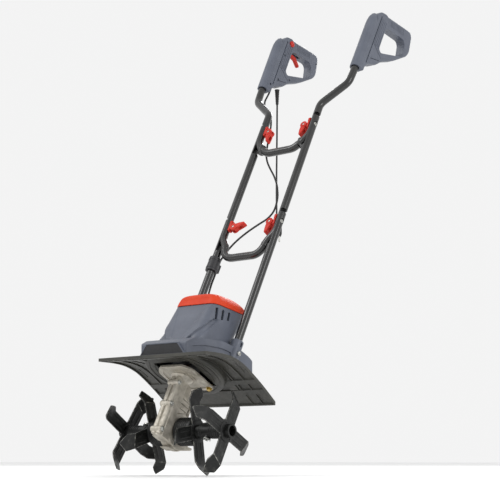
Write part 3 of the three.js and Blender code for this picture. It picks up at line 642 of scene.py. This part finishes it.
def gearcase():
    for name, side in SIDES:
        gearcase_half(f"gearcase_{name}", side)
    for name, z in SCREW_HEIGHTS:
        shank = rod("x", 2.9, 1 - CASE_HALF, CASE_HALF + 1)
        washer = bevel(rod("x", 6, CASE_HALF + GAP, CASE_HALF + 1.3), 0.3, 2)
        screw = join(socket_head("x", 4.6, CASE_HALF + 1, CASE_HALF + 4.2, 2.4), washer, shank)
        piece(f"{name}_bolt", screw, LEAN @ Matrix.Translation((0, RIDGE_Y, z)), name)

    outline = rounded([(-52, 18), (-52, -66), (-34, -88), (34, -88), (52, -66), (52, 18)], 7)
    plate = bevel(prism("z", outline, *FLANGE), 1.4)
    holes = [rod("z", SCREW_HOLE, 100, 140, (x, 10), 24) for x in (-44, 44)]
    pads = merged(*[rod("z", 8, FLANGE[0] - 0.2, FLANGE[0] + 3, (x, 10), 32) for x in (-44, 44)])
    lip = [(p.x * 0.82, (p.y + 35) * 0.82 - 35) for p in outline]
    recess = prism("z", lip, FLANGE[0] - 3, FLANGE[0] + 1.4)
    boss = rod("z", 33, FLANGE[0] - 0.1, FLANGE[0] + 4, (0, WORM_Y), 48)
    plate = join(cut(plate, recess), boss, pads)
    cut(plate, rod("z", 13, 100, 140, (0, WORM_Y), 48), *holes)
    piece("motor_flange_plate", plate, LEAN, "motor_flange")
    for name, side in SIDES:
        shank = rod("z", 3, FLANGE[0] - 1, FLANGE[1] + 4, (0, 0), 24)
        washer = bevel(rod("z", 7.4, FLANGE[0] - 1.6, FLANGE[0] - GAP), 0.3, 2)
        head = bevel(rod("z", 5.5, FLANGE[0] - 5.4, FLANGE[0] - 1.2, (0, 0), 6), 0.5, 2)
        place = LEAN @ Matrix.Translation((side * 44, 10, 0))
        piece(f"flange_bolt_{name}_hex", join(head, washer, shank), place, f"flange_bolt_{name}")


# ---------------------------------------------------------------- shield
SHIELD_TOP = [
    (-90, 268), (-40, 267), (-8, 264), (16, 258), (40, 249), (66, 234), (92, 217), (118, 199), (160, 167),
]
SHIELD_LINE = [(p.x, p.y) for p in rounded(SHIELD_TOP, 14, 4, closed=False)]
SHIELD_HALF = 164
SHIELD_SKIN = 3
PAN_RADIUS = 98
PAN_HEIGHT = 130


def shield_band(raise_top, drop_under, front=0, rear=0):
    """The strip between two lines that follow the shield's top, cut short in front and behind."""
    start, end = SHIELD_LINE[0][0] + front, SHIELD_LINE[-1][0] - rear
    inside = [p for p in SHIELD_LINE if start < p[0] < end]

    def height(y):
        for (y0, z0), (y1, z1) in zip(SHIELD_LINE, SHIELD_LINE[1:]):
            if y0 <= y <= y1:
                return z0 + (z1 - z0) * (y - y0) / (y1 - y0)
        return SHIELD_LINE[-1][1]

    run = [(start, height(start)), *inside, (end, height(end))]
    upper = [(y, z + raise_top) for y, z in run]
    return upper + [(y, z - drop_under) for y, z in reversed(run)]


def shield():
    """A thin curved cover with a turned-down lip, ribs on its rear and a ribbed, dished underside."""
    blank = prism("x", shield_band(0, 7), -SHIELD_HALF, SHIELD_HALF)
    corners = [(-SHIELD_HALF, -90), (SHIELD_HALF, -90), (SHIELD_HALF, 160), (-SHIELD_HALF, 160)]
    common(blank, prism("z", rounded(corners, 4, 6), 150, 300))
    bevel(blank, 1.6, 3)
    inner = SHIELD_HALF - SHIELD_SKIN
    cut(blank, prism("x", shield_band(-3, 20, 3, 3), -inner, inner))
    cross = [shield_band(-2.5, 6.2, *ends) for ends in ((20, 218), (176, 62), (206, 32))]
    under = [prism("x", band, -inner - 1, inner + 1) for band in cross]
    for x in (-128, -98, 98, 128):
        under.append(prism("x", shield_band(-2.5, 6, 2, 2), x - 1.2, x + 1.2))
    for side in (1, -1):
        under.append(prism("x", shield_band(-2.8, 5.2, 24, 40), *span(side, 66, 90)))
    for side in (-1, 1):
        for x in (104, 113, 122):
            under.append(prism("x", shield_band(1.1, 1, 96, 14), *span(side, x, x + 4)))
    join(blank, *under)

    def below(drop):
        return prism("x", [*[(y, z - drop) for y, z in SHIELD_LINE], (160, 100), (-90, 100)], -160, 160)

    pan = bevel(rod("z", PAN_RADIUS, PAN_HEIGHT, 300, (0, WORM_Y), 96), 5, 4)
    rings = []
    for r in (70, 84):
        ring = [(r, PAN_HEIGHT + 1), (r, PAN_HEIGHT - 1), (r + 3, PAN_HEIGHT - 1), (r + 3, PAN_HEIGHT + 1)]
        rings.append(moved(lathe("z", [*ring, ring[0]], 96), Matrix.Translation((0, WORM_Y, 0))))
    pan = tipped(pan)
    join(pan, *[tipped(ring) for ring in rings])
    join(blank, common(pan, below(1)))
    cut(blank, tipped(block((-54, 54), (-90, 20), (90, 240))))
    room = rod("z", PAN_RADIUS - SHIELD_SKIN, PAN_HEIGHT + SHIELD_SKIN, 300, (0, WORM_Y), 96)
    cut(blank, common(tipped(room), below(SHIELD_SKIN)))
    slots = [prism("x", shield_band(9, 9, 120, 96), a, a + 3) for a in (-150, 147)]
    cut(blank, *slots)
    piece("shield_cover", blank, GROUND, "shield")


# ---------------------------------------------------------------- motor housing
# Sections of the housing and its cap: middle y, height z, half width, half depth, corner, rearward slope.
BODY_SECTIONS = [
    (62, 291, 69, 66, 24, 0.2), (66, 312, 68, 65, 24, 0.06), (96, 350, 65, 62, 22, 0.12),
    (120, 384, 62, 60, 20, 0.17),
]
CAP_SECTIONS = [
    (120, 385, 64, 62, 21, 0.17), (124, 396, 63, 60, 21, 0.17), (121, 408, 55, 53, 22, 0.17),
    (119, 416, 42, 40, 24, 0.14), (118, 419, 26, 26, 20, 0.1),
]


def between(sections, steps):
    """The sections with more between them, along straight lines."""
    result = []
    for a, b in zip(sections, sections[1:]):
        result += [tuple(p + (q - p) * k / steps for p, q in zip(a, b)) for k in range(steps)]
    return [*result, sections[-1]]


def smooth_six(sections, steps):
    """A uniform Catmull-Rom curve through rows of six numbers."""
    first = tuple(2 * a - b for a, b in zip(sections[0], sections[1]))
    last = tuple(2 * a - b for a, b in zip(sections[-1], sections[-2]))
    line = [first, *sections, last]
    result = []
    for rows in zip(line, line[1:], line[2:], line[3:]):
        for k in range(steps):
            t = k / steps
            row = []
            for p0, p1, p2, p3 in zip(*rows):
                square = 2 * p0 - 5 * p1 + 4 * p2 - p3
                cube = 3 * p1 - p0 - 3 * p2 + p3
                row.append(p1 + ((p2 - p0) * t + square * t**2 + cube * t**3) / 2)
            result.append(tuple(row))
    return [*result, sections[-1]]


def section_ring(section, relief=None, flat=26, arc=12):
    """A rounded rectangle from its front middle round to the right. relief(s, z) pushes a point out,
    s being the way along the outline from the front middle, the same on both sides."""
    y, z, a, b, corner, slope = section
    half = []
    s = 0
    for i in range(flat):
        half.append(((a - corner) * i / flat, -b, 0, -1, (a - corner) * i / flat))
    s = a - corner
    for i in range(arc):
        turn = math.pi / 2 * i / arc
        nx, ny = math.sin(turn), -math.cos(turn)
        half.append((a - corner + corner * nx, corner - b + corner * ny, nx, ny, s + corner * turn))
    s += corner * math.pi / 2
    span = 2 * (b - corner)
    for i in range(flat):
        half.append((a, corner - b + span * i / flat, 1, 0, s + span * i / flat))
    s += span
    for i in range(arc):
        turn = math.pi / 2 * i / arc
        nx, ny = math.cos(turn), math.sin(turn)
        half.append((a - corner + corner * nx, b - corner + corner * ny, nx, ny, s + corner * turn))
    s += corner * math.pi / 2
    for i in range(flat // 2 + 1):
        x = (a - corner) * (1 - 2 * i / flat)
        half.append((x, b, 0, 1, s + a - corner - x))
    ring = []
    mirrored = [(-x, py, -nx, ny, way) for x, py, nx, ny, way in half[1:-1]]
    for x, py, nx, ny, way in [*half, *reversed(mirrored)]:
        push = relief(way, z - slope * py) if relief else 0
        ring.append((x + push * nx, y + py + push * ny, z - slope * py))
    return ring


def skin(sections, relief=None):
    """A closed solid through the rings of these sections."""
    return loft([section_ring(row, relief) for row in sections])


def ease(value, width):
    t = min(max(value / width, 0), 1)
    return t * t * (3 - 2 * t)


def housing_relief(s, z):
    """A sunk diagonal band from under the vents to the front's foot, with a raised panel before it."""
    top, foot = 358, 308
    t = (z - foot) / (top - foot)
    band_low = 30 + 46 * t
    band_high = 64 + 30 * t
    within = ease(z - foot + 2, 3) * ease(top - z, 3)
    band = ease(s - band_low, 1.4) * ease(band_high - s, 1.4) * within
    panel_low = 13 + 20 * t
    panel_high = band_low if z < top else 76 - 0.4 * (z - top)
    panel = ease(s - panel_low, 2) * ease(panel_high - s, 1.6) * ease(z - foot + 2, 3)
    return 1.4 * panel - 3.6 * band


def shrunk(sections, wall, drop):
    return [(y, z - drop, a - wall, b - wall, max(c - wall, 4), k) for y, z, a, b, c, k in sections]


def vent(top, x0, x1):
    high = 397 - 0.17 * top
    outline = [(top - 4, high), (top + 4, high), (top - 4, 357), (top - 12, 357)]
    return prism("x", rounded(outline, 2), x0, x1)


def housing():
    body = skin(between(BODY_SECTIONS, 14), housing_relief)
    skirt_side = [
        (-48, 270.5), (-46, 298), (-20, 309), (60, 303), (120, 288), (150, 274), (166, 263), (168, 240),
    ]
    under = [
        (160, 172), (118, 201), (92, 219), (66, 236.5), (40, 251), (16, 260.5), (-8, 266.5), (-40, 269.5),
    ]
    plan = [(-70, -48), (70, -48), (80, 10), (92, 40), (92, 168), (-92, 168), (-92, 40), (-80, 10)]
    skirt = prism("x", rounded([*skirt_side, *under], 5), -100, 100)
    common(skirt, prism("z", rounded(plan, 9), 160, 320))
    bevel(skirt, 2.6, 3)
    sockets = [tipped(bevel(rod("z", 15, 150, 240, (x, BAR_Y), 48), 2)) for x in (-BAR_X, BAR_X)]
    neck_rows = [(118, 374, 62.6, 60.4, 20, 0.17), (124, 394, 62.6, 60, 20, 0.17)]
    neck = skin(shrunk(neck_rows, 3.2, 0))
    trim = prism("y", rounded([(-68, 271.2), (68, 271.2), (49, 297.8), (-49, 297.8)], 2.5), -51.6, -44)
    whole = join(body, skirt, neck, *sockets, bevel(trim, 0.8, 2))

    room_rows = shrunk(BODY_SECTIONS, 5.4, 0)
    room_rows[0] = (62, 285, *room_rows[0][2:])
    cut(whole, skin(between(room_rows, 4)))
    neck_room_rows = [(112, 370, 62, 60, 20, 0.17), (126, 398, 62, 60, 20, 0.17)]
    cut(whole, skin(shrunk(neck_room_rows, 6.5, 0)))
    room_side = [
        (-42, 200), (-42, 294), (-18, 304), (60, 298), (118, 283), (148, 269), (160, 258), (160, 200),
    ]
    room_plan = [(-62, -43), (62, -43), (72, 12), (70, 158), (-70, 158), (-72, 12)]
    room = common(prism("x", room_side, -100, 100), prism("z", room_plan, 160, 320))
    bores = [tipped(rod("z", TUBE + GAP, 186, 260, (x, BAR_Y), 40)) for x in (-BAR_X, BAR_X)]
    spot = LEAN_TO_GROUND @ Vector((0, BAR_Y, SOCKET_SCREW_Z))
    holes = merged(*[rod("x", SCREW_HOLE, *span(side, 70, 130), (spot.y, spot.z), 24) for side in (1, -1)])
    line = [(y, z + GAP) for y, z in SHIELD_LINE]
    ground = prism("x", [*line, (200, 137), (200, 0), (-120, 0), (-120, 268)], -200, 200)
    vents = merged(*[vent(top, *side) for top in (70, 92, 114) for side in ((-90, -52), (52, 90))])
    badge_seat = prism("y", [(-64.7, 272.8), (64.7, 272.8), (46.5, 295.4), (-46.5, 295.4)], -60, -45.5)
    cable_hole = tipped(rod("y", 4.5, 0, 60, (-45, 292), 24))
    side_recess = []
    for side in (-1, 1):
        strip = [(70.8, -30), (77.7, 10.6), (89.6, 41.4), (89.6, 84), (112, 84), (112, -30)]
        recess = prism("z", rounded([(side * x, y) for x, y in strip], 2), 200, 330)
        lines = [(-30, 274), (-30, 290), (10, 292), (60, 286), (84, 280), (84, 232), (60, 246), (16, 266)]
        side_recess.append(common(recess, prism("x", rounded(lines, 4), -120, 120)))
    slots = [tipped(block(span(side, 96, 110), (BAR_Y - 3, BAR_Y + 3), (224, 234)))
             for side in (-1, 1)]
    cut(whole, room, *bores, holes, ground, vents, badge_seat, cable_hole, *side_recess, *slots)
    piece("motor_housing_shell", whole, GROUND, "motor_housing")

    # Painted shade: a near-black block inside the housing behind the vents, standing in for the shade seen
    # through the vent slots.
    dark = bevel(block((-56, 56), (70, 160), (340, 372)), 3)
    piece("motor_housing_painted_shade", dark, GROUND, looks=PAINTED_SHADE_PLASTIC, body="chassis", slot="black_plastic")

    cap = skin(smooth_six(CAP_SECTIONS, 8))
    bevel(cap, 1.4, 3)
    cap_room = shrunk(CAP_SECTIONS, 3, 3)
    cap_room[0] = (cap_room[0][0], cap_room[0][1] - 8, *cap_room[0][2:])
    cut(cap, skin(between(cap_room, 3)))
    piece("motor_cap_cover", cap, GROUND, "motor_cap")

    outline = rounded([(-64, 273.2), (64, 273.2), (46, 295), (-46, 295)], 1.5)
    badge = bevel(prism("y", outline, -51, -45.8), 0.7, 2)
    piece("badge_blank", badge, GROUND, "badge_plate")

    for name, side in SIDES:
        head = socket_head("x", 5, 100.3, 105, 2.6)
        screw = join(head, rod("x", 3, 97, 101))
        place = LEAN @ Matrix.Translation((0, BAR_Y, SOCKET_SCREW_Z)) @ facing(side)
        piece(f"socket_screw_{name}_bolt", screw, place, f"socket_screw_{name}")


# ---------------------------------------------------------------- tines
BLADE_WIDTH = 33
BLADE_SKIN = 3
BEND_AT = 70


def blade(bend_side, tip_length):
    """One blade square to X: a flat arm and a bent tip in one plate, from the hub's bore outwards."""
    half = BLADE_WIDTH / 2
    slant = math.atan2(12, BLADE_WIDTH)
    angle = math.radians(38) * bend_side
    bend = (
        Matrix.Translation((0, 0, BEND_AT))
        @ Matrix.Rotation(-slant, 4, "X")
        @ Matrix.Rotation(angle, 4, "Y")
        @ Matrix.Rotation(slant, 4, "X")
    )
    root = [Vector((0, -half, half + GAP)), Vector((0, half, half + GAP))]
    crease = [Vector((0, half, BEND_AT - 6)), Vector((0, -half, BEND_AT + 6))]
    tip = [
        (half, -6), (half + 3, 12), (half - 4, tip_length - 10), (6, tip_length), (-half, 26), (-half, 6),
    ]
    tip = [bend @ Vector((0, p[0], p[1])) for p in rounded(tip, 3, 3, closed=False)[1:-1]]
    flat_side = Vector((1, 0, 0))
    tip_side = bend.to_3x3() @ flat_side
    crease_side = (flat_side + tip_side).normalized() / math.cos(angle / 2)
    rim = [(p, flat_side) for p in root] + [(crease[0], crease_side)]
    rim += [(p, tip_side) for p in tip] + [(crease[1], crease_side)]
    count = len(rim)
    verts = [p + side * reach * BLADE_SKIN / 2 for reach in (1, -1) for p, side in rim]
    arm_face = [0, 1, 2, count - 1]
    tip_face = [*range(2, count)]
    faces = [tuple(k + i for i in face) for k in (0, count) for face in (arm_face, tip_face)]
    faces += [(i, (i + 1) % count, count + (i + 1) % count, count + i) for i in range(count)]
    return raw(verts, faces)


def blade_ridges():
    """Two pressed ridges along a blade's arm."""
    ridges = []
    for y in (-7, 7):
        ridge = [(0, y, 23), (0, y, 26), (0, y, 59), (0, y, 62)]
        ridges.append(sweep(ridge, lambda way: 2.7 if 2 < way < 37 else 1.0, 12))
    return ridges


def star(name, x, bend_side, angle, tip_length):
    """Four blades round a hub ring. The bevelled blade edges are worn bare, and so have the second look."""
    turns = [Matrix.Rotation(math.pi / 2 * i, 4, "X") for i in range(4)]
    blades = merged(*[moved(blade(bend_side, tip_length), turn) for turn in turns])
    looks = (LOOKS["black_paint"], WORN_EDGE)
    for look in looks:
        blades.data.materials.append(look)
    bevel(blades, 0.8, 2, edge_slot=1)
    details = [moved(ridge, turn) for turn in turns for ridge in blade_ridges()]
    ring = lathe("x", [(0.5, -3.6), (23, -3.6), (25.2, -2.6), (25.2, 2.6), (23, 3.6), (0.5, 3.6)], 56)
    rivet = [(0.2, -5), (1.8, -4.8), (2.6, -4), (2.6, 4), (1.8, 4.8), (0.2, 5)]
    rivets = [moved(lathe("x", rivet, 20, (14.3, 14.3)), turn) for turn in turns]
    join(blades, ring, merged(*details), merged(*rivets))
    cut(blades, rod("x", HUB_TUBE + GAP, -9, 9, (0, 0), 56))
    place = LEAN_FREE @ Matrix.Translation((x, 0, 0)) @ Matrix.Rotation(math.radians(-angle), 4, "X")
    node = f"tine_star_{name}"
    piece(f"{node}_blades", blades, place, node, looks=looks, sharp=40)


def turned_rib(radius, start, rise):
    """Profile points of one rib, or of one groove where rise is negative."""
    return [(radius, start), (radius + rise, start + 1), (radius + rise, start + 3), (radius, start + 4)]


def tines():
    star("outer_right", 150, -1, 28.5, 40)
    star("inner_right", 64, 1, 81.5, 35)
    star("inner_left", -64, -1, 73, 35)
    star("outer_left", -150, 1, 34.4, 40)
    for name, side in SIDES:
        turn = facing(side)
        profile = [(11.3, 17), (29, 17), (31.2, 18), (32, 20)]
        for x in range(23, 55, 6):
            profile += turned_rib(32, x, -1.2)
        profile += [(32, 58), (31, 61), (29, 62), (HUB_TUBE, 62)]
        for x in range(78, 138, 6):
            if not 90 <= x <= 106:
                profile += turned_rib(HUB_TUBE, x, 1.1)
        profile += [(HUB_TUBE, 165), (HUB_TUBE - 0.8, 166), (12, 166), (11.3, 165), (11.3, 17)]
        hub = lathe("x", profile, 56)
        room = cut(rod("x", 29, 10, 56), rod("x", HUB_TUBE, 0, 70))
        collar = rod("z", 8, -18, 18, (100, 0), 32)
        join(hub, collar)
        cut(hub, rod("x", 11.3, 60, 140, (0, 0), 40), rod("z", 4.3, -40, 40, (100, 0), 24), room)
        piece(f"tine_hub_{name}_sleeve", hub, LEAN @ turn, f"tine_hub_{name}")

        shank = [(0.3, -21), (3.2, -20.6), (4, -19.6), (4, 19)]
        head = [(6.6, 19), (7, 19.6), (7, 22.4), (6.4, 23), (0.3, 23)]
        pin = lathe("z", shank + head, 28, (100, 0))
        clip = [(100 + 6.4 * math.sin(a) * 1.15, 9 * math.cos(a), -19.8) for a in
                [math.radians(20 + 10 * k) for k in range(33)]]
        join(pin, sweep(clip, 0.9, 10))
        piece(f"clevis_pin_{name}_clipped", pin, LEAN @ turn, f"clevis_pin_{name}")


# ---------------------------------------------------------------- handlebar
def nest_block(side, which, pivot, below, above):
    low, high = (BAR_X - GAP / 2, BAR_X + 30) if which == "outer" else (BAR_X - 30, BAR_X + GAP / 2)
    return block(span(side, low, high), (BAR_Y - 20, BAR_Y + 20), (pivot - below, pivot + above))


def bolt_hole(side, z):
    return rod("x", 3 + GAP, *span(side, 40, 120), (BAR_Y, z), 24)


def bolt_seat(side, z):
    return rod("x", 7, *span(side, BAR_X + 4, BAR_X + 30), (BAR_Y, z), 32)


def bent(points, bend, steps=9):
    """Straight runs joined by rounded corners."""
    corners = [Vector(p) for p in points]
    path = [corners[0]]
    for i in range(1, len(corners) - 1):
        before = (corners[i] - corners[i - 1]).normalized() * bend
        after = (corners[i + 1] - corners[i]).normalized() * bend
        for k in range(steps + 1):
            t = k / steps
            a, b = corners[i] - before, corners[i] + after
            path.append((1 - t) ** 2 * a + 2 * t * (1 - t) * corners[i] + t * t * b)
    return [*path, corners[-1]]


def arch(bottom, pivot, arm):
    leg = [(ARCH_X, BAR_Y, bottom + 17), (ARCH_X, BAR_Y, pivot - 62), (BAR_X, BAR_Y, pivot - 30)]
    right = [*leg, *arm]
    left = [(-x, y, z) for x, y, z in reversed(right)]
    foot = ARCH_X - 19
    return [*left, (-foot, BAR_Y + 2, bottom), (foot, BAR_Y + 2, bottom), *right]


def handlebar():
    for name, side in SIDES:
        bar = bevel(rod("z", TUBE, 188, LOWER_PIVOT + 26, (side * BAR_X, BAR_Y), 40), 0.8, 2)
        nest = nest_block(side, "inner", LOWER_PIVOT, NEST + 40, 60)
        screw_hole = rod("x", SCREW_HOLE, *span(side, 90, 120), (BAR_Y, SOCKET_SCREW_Z), 24)
        cut(bar, nest, bolt_hole(side, LOWER_PIVOT), bolt_seat(side, LOWER_PIVOT), screw_hole)
        piece(f"lower_tube_{name}_bar", bar, LEAN, f"lower_tube_{name}")

    middle = sweep(bent(arch(495, LOWER_PIVOT, [(BAR_X, BAR_Y, UPPER_PIVOT + 26)]), 14), TUBE, 32)
    for side in (1, -1):
        cut(middle, nest_block(side, "outer", LOWER_PIVOT, NEST + 38, NEST + 4))
        cut(middle, nest_block(side, "inner", UPPER_PIVOT, NEST + 40, 60))
        cut(middle, bolt_hole(side, LOWER_PIVOT), bolt_hole(side, UPPER_PIVOT))
        cut(middle, bolt_seat(side, UPPER_PIVOT))
    piece("middle_bar_tube", middle, LEAN, "middle_bar")

    tip_x = GRIP_X + 70 * math.sin(SPLAY)
    arm = [
        (BAR_X, BAR_Y, 979), (GRIP_X - 3, BAR_Y + 5, 1044), (GRIP_X, BAR_Y + 6, GRIP_Z - 12),
        (tip_x, BAR_Y + 6, GRIP_Z + 58),
    ]
    upper = sweep(bent(arch(836, UPPER_PIVOT, arm), 14), TUBE, 32)
    for side in (1, -1):
        cut(upper, nest_block(side, "outer", UPPER_PIVOT, NEST + 38, NEST + 4))
        cut(upper, bolt_hole(side, UPPER_PIVOT))
    piece("upper_bar_tube", upper, LEAN, "upper_bar")

    ring = rod("z", TUBE + 5, -20, 20, (0, 0), 48)
    bevel(ring, 1.5)
    lug = bevel(block((-6, 6), (TUBE, TUBE + 13), (-12, 12)), 1.6)
    bands = merged(rod("z", TUBE + 5.6, -14, -10, (0, 0), 48), rod("z", TUBE + 5.6, 10, 14, (0, 0), 48))
    clip = join(ring, lug, bands)
    cut(clip, rod("z", TUBE + GAP, -30, 30, (0, 0), 48))
    cut(clip, rod("z", CORD_RADIUS + 0.6, -30, 30, (0, 17.5), 24))
    piece("cable_clip_band", clip, LEAN @ Matrix.Translation((-BAR_X, BAR_Y, 478)), "cable_clip")


# ---------------------------------------------------------------- quick-release clamps
SADDLE = 6
SADDLE_FACE = BAR_X - TUBE - GAP
CAM = 10
PIN_X = SADDLE_FACE - SADDLE - GAP - CAM - 0.2
LEVER = 34


def clamp(level, z, name, side, angle):
    turn = facing(side)
    place = LEAN @ Matrix.Translation((0, BAR_Y, z)) @ turn
    seat = BAR_X + 4 + GAP
    stem = rod("x", 3, PIN_X, seat + 1, (0, 0), 24)
    cross = bevel(rod("y", 3.4, -8.5, 8.5, (PIN_X, 0), 28), 0.6, 2)
    bolt = join(socket_head("x", 5.8, seat, seat + 3.5, 2.8), stem, cross)
    piece(f"{level}_bolt_{name}_stem", bolt, place, f"{level}_bolt_{name}")

    outline = rounded([(-7, -9), (7, -9), (7, 22), (-7, 22)], 3)
    pad = bevel(prism("x", outline, SADDLE_FACE - SADDLE, SADDLE_FACE), 1, 2)
    grips = merged(*[block((SADDLE_FACE - SADDLE - 0.5, SADDLE_FACE - 2), (-7.4, 7.4), (h, h + 1.6))
                     for h in (11, 14.4, 17.8)])
    join(pad, grips)
    cut(pad, rod("x", 3 + GAP, 0, 100, (0, 0), 24))
    piece(f"{level}_saddle_{name}_pad", pad, place, f"{level}_saddle_{name}")

    cam = bevel(rod("y", CAM, -9, 9, (0, 0), 48), 1.2)
    side_line = [
        (-8, 0), (8, 2), (6, -12), (2, 10 - LEVER), (-2, -LEVER), (-7, 1 - LEVER), (-9, -LEVER / 2),
    ]
    arm = bevel(prism("y", rounded(side_line, 4), -8, 8), 2)
    window = prism("x", rounded([(-4, -14), (4, -14), (4, -27), (-4, -27)], 2), -20, 20)
    swing = block((-14, 14), (-3.6, 3.6), (-3.6, 14))
    rim = merged(*[rod("y", 5.4, *ends, (0, 0), 32) for ends in ((-9.6, -8.6), (8.6, 9.6))])
    lever = join(cam, arm, rim)
    cut(lever, rod("y", 3.4 + GAP, -20, 20, (0, 0), 28), window, swing)
    place = LEAN @ Matrix.Translation((side * PIN_X, BAR_Y, z)) @ turn @ Matrix.Rotation(angle, 4, "Y")
    piece(f"{level}_lever_{name}_arm", lever, place, f"{level}_lever_{name}")


def clamps():
    opened = math.radians(100)
    clamp("lower", LOWER_PIVOT, "right", 1, 0)
    clamp("lower", LOWER_PIVOT, "left", -1, opened)
    clamp("upper", UPPER_PIVOT, "right", 1, 0)
    clamp("upper", UPPER_PIVOT, "left", -1, 0)


# ---------------------------------------------------------------- D-handles
# Outlines in a handle's own (rearward, upward) plane, from the middle of its lower end.
HANDLE_OUTSIDE = [
    (2, 0), (2, 160), (2, 190), (10, 213), (30, 223), (52, 230), (134, 263), (153, 269), (164, 259),
    (174, 210), (169, 192), (124, 134), (82, 94), (60, 60), (27, 34), (19, 16), (19, 0),
]
HANDLE_OPENING = [
    (50, 112), (50, 184), (60, 195), (132, 222), (143, 215), (152, 180), (145, 168), (62, 106),
]
SPINE = [
    (2, 0), (2, 196), (10, 212), (30, 223), (42, 223), (47, 213), (47, 92), (60, 60), (27, 34),
    (19, 16), (19, 0),
]
LOOP_HALF = 13
GRIP_HALF = 16
TRIGGER_PIVOT = (55, 186)
BUTTON = (35, 205)


def both_faces(depth):
    """The stretches along X outside a handle's two faces."""
    return (-30, -depth), (depth, 30)


def slanted_bar(start, end, width, x0, x1):
    """A thin bar between two points of a handle's plane, for a groove or a rib."""
    a, b = Vector(start), Vector(end)
    off = (b - a).orthogonal().normalized() * width / 2
    return prism("x", [a - off, b - off, b + off, a + off], x0, x1)


def handle_shell(side, rooms):
    loop = bevel(prism("x", rounded(HANDLE_OUTSIDE, 9, 6), -LOOP_HALF, LOOP_HALF), 5, 5)
    opening = prism("x", rounded(HANDLE_OPENING, 7, 6), -30, 30)
    spine = bevel(prism("x", rounded(SPINE, 6, 5), -GRIP_HALF, GRIP_HALF), 4, 4)
    profile = [
        (0.4, 0), (15, 0), (16, 1), (16, 156), (15.3, 170), (13.2, 183), (9, 194), (4, 200), (0.4, 202),
    ]
    front = lathe("z", profile, 56, (0, 2))
    hump = rounded([(24, 40), (56, 62), (72, 84), (66, 100), (30, 98)], 8)
    bulge = bevel(prism("x", hump, -15, 15), 4, 4)
    ribs = []
    for u in (22, 28.5, 35, 41.5):
        for x0, x1 in ((-GRIP_HALF - 0.9, -12), (12, GRIP_HALF + 0.9)):
            ribs.append(block((x0, x1), (u, u + 3.2), (106, 198)))
    shell = join(loop, spine, front, bulge, bevel(merged(*ribs), 0.5, 2))
    grooves = []
    for x0, x1 in both_faces(GRIP_HALF - 2.4):
        grooves.append(block((x0, x1), (14.6, 18), (30, 200)))
    for x0, x1 in both_faces(LOOP_HALF - 0.2):
        grooves.append(slanted_bar((22, 103), (76, 88), 1.6, x0, x1))
        grooves.append(slanted_bar((26, 55), (64, 78), 1.6, x0, x1))
    knurls = []
    along = Vector((82, 33)).normalized()
    across = Vector((-along.y, along.x))
    for k in range(11):
        centre = Vector((64, 217)) + along * 6.2 * k
        for x0, x1 in both_faces(LOOP_HALF - 0.8):
            knurls.append(slanted_bar(centre - across * 9, centre + across * 9, 1.5, x0, x1))
    cut(shell, opening, merged(*grooves), merged(*knurls))
    pocket = prism("x", [(-8, 90), (-8, 168), (6, 192), (24, 204), (34, 202), (38, 100), (26, 84)], -10, 10)
    cut(shell, rod("z", TUBE + 1.2, -20, 74, (0, 0), 40), pocket, *rooms())
    low, high = span(side, GAP / 2, 40)
    return common(shell, block((low, high), (-60, 260), (-60, 320)))


def switch_rooms():
    trigger_room = prism("x", [(36, 176), (75, 178), (98, 203), (90, 219), (36, 212)], -5, 5)
    screw_spots = ((8, 24), (30, 62), (24, 150), (76, 100), (142, 150), (160, 240))
    screws = merged(*[rod("x", 3.2, 10.5, 40, spot, 20) for spot in screw_spots])
    return [
        trigger_room,
        rod("x", 2.3, -8.3, 8.3, TRIGGER_PIVOT, 24),
        rod("x", 9 + GAP, 0, 30, BUTTON, 40),
        rod("z", CORD_RADIUS + 1.2, -10, 50, (6, 24), 24),
        screws,
    ]


def handle_place(side):
    foot = Matrix.Translation((side * GRIP_X, BAR_Y + 6, GRIP_Z))
    return LEAN @ foot @ Matrix.Rotation(side * SPLAY, 4, "Y")


def handles():
    for name, side, rooms in (("right", 1, list), ("left", -1, switch_rooms)):
        for part, which in (("outer", side), ("inner", -side)):
            node = f"handle_{name}_{part}"
            piece(f"{node}_shell", handle_shell(which, rooms), handle_place(side), node)

    place = handle_place(-1)
    paddle = [
        (47, 186), (59, 192), (79, 196), (102, 184), (104, 178), (98, 175), (79, 184), (61, 182), (49, 178),
    ]
    trigger = bevel(prism("x", rounded(paddle, 3), -4.4, 4.4), 1.4)
    cut(trigger, rod("x", 2.4, -10, 10, TRIGGER_PIVOT, 24))
    piece("trigger_paddle", trigger, place, "trigger")

    top = GRIP_HALF + 4
    profile = [(0.3, 6), (5, 6), (5, 12), (9, 12), (9, top - 1.6), (8.4, top - 0.6), (7, top)]
    profile += [(6, top - 0.5), (0.3, top - 0.9)]
    button = lathe("x", profile, 48, BUTTON)
    piece("lock_button_cap", button, place, "lock_button")


# ---------------------------------------------------------------- the whole tiller
camera()
studio()
cords()
gearcase()
shield()
housing()
tines()
handlebar()
clamps()
handles()
for node, obj in frame["nodes"].items():
    if not obj.hide_render:
        for i in range(len(obj.material_slots)):
            obj.material_slots[i].material = LOOKS[SLOT_OF[node]]
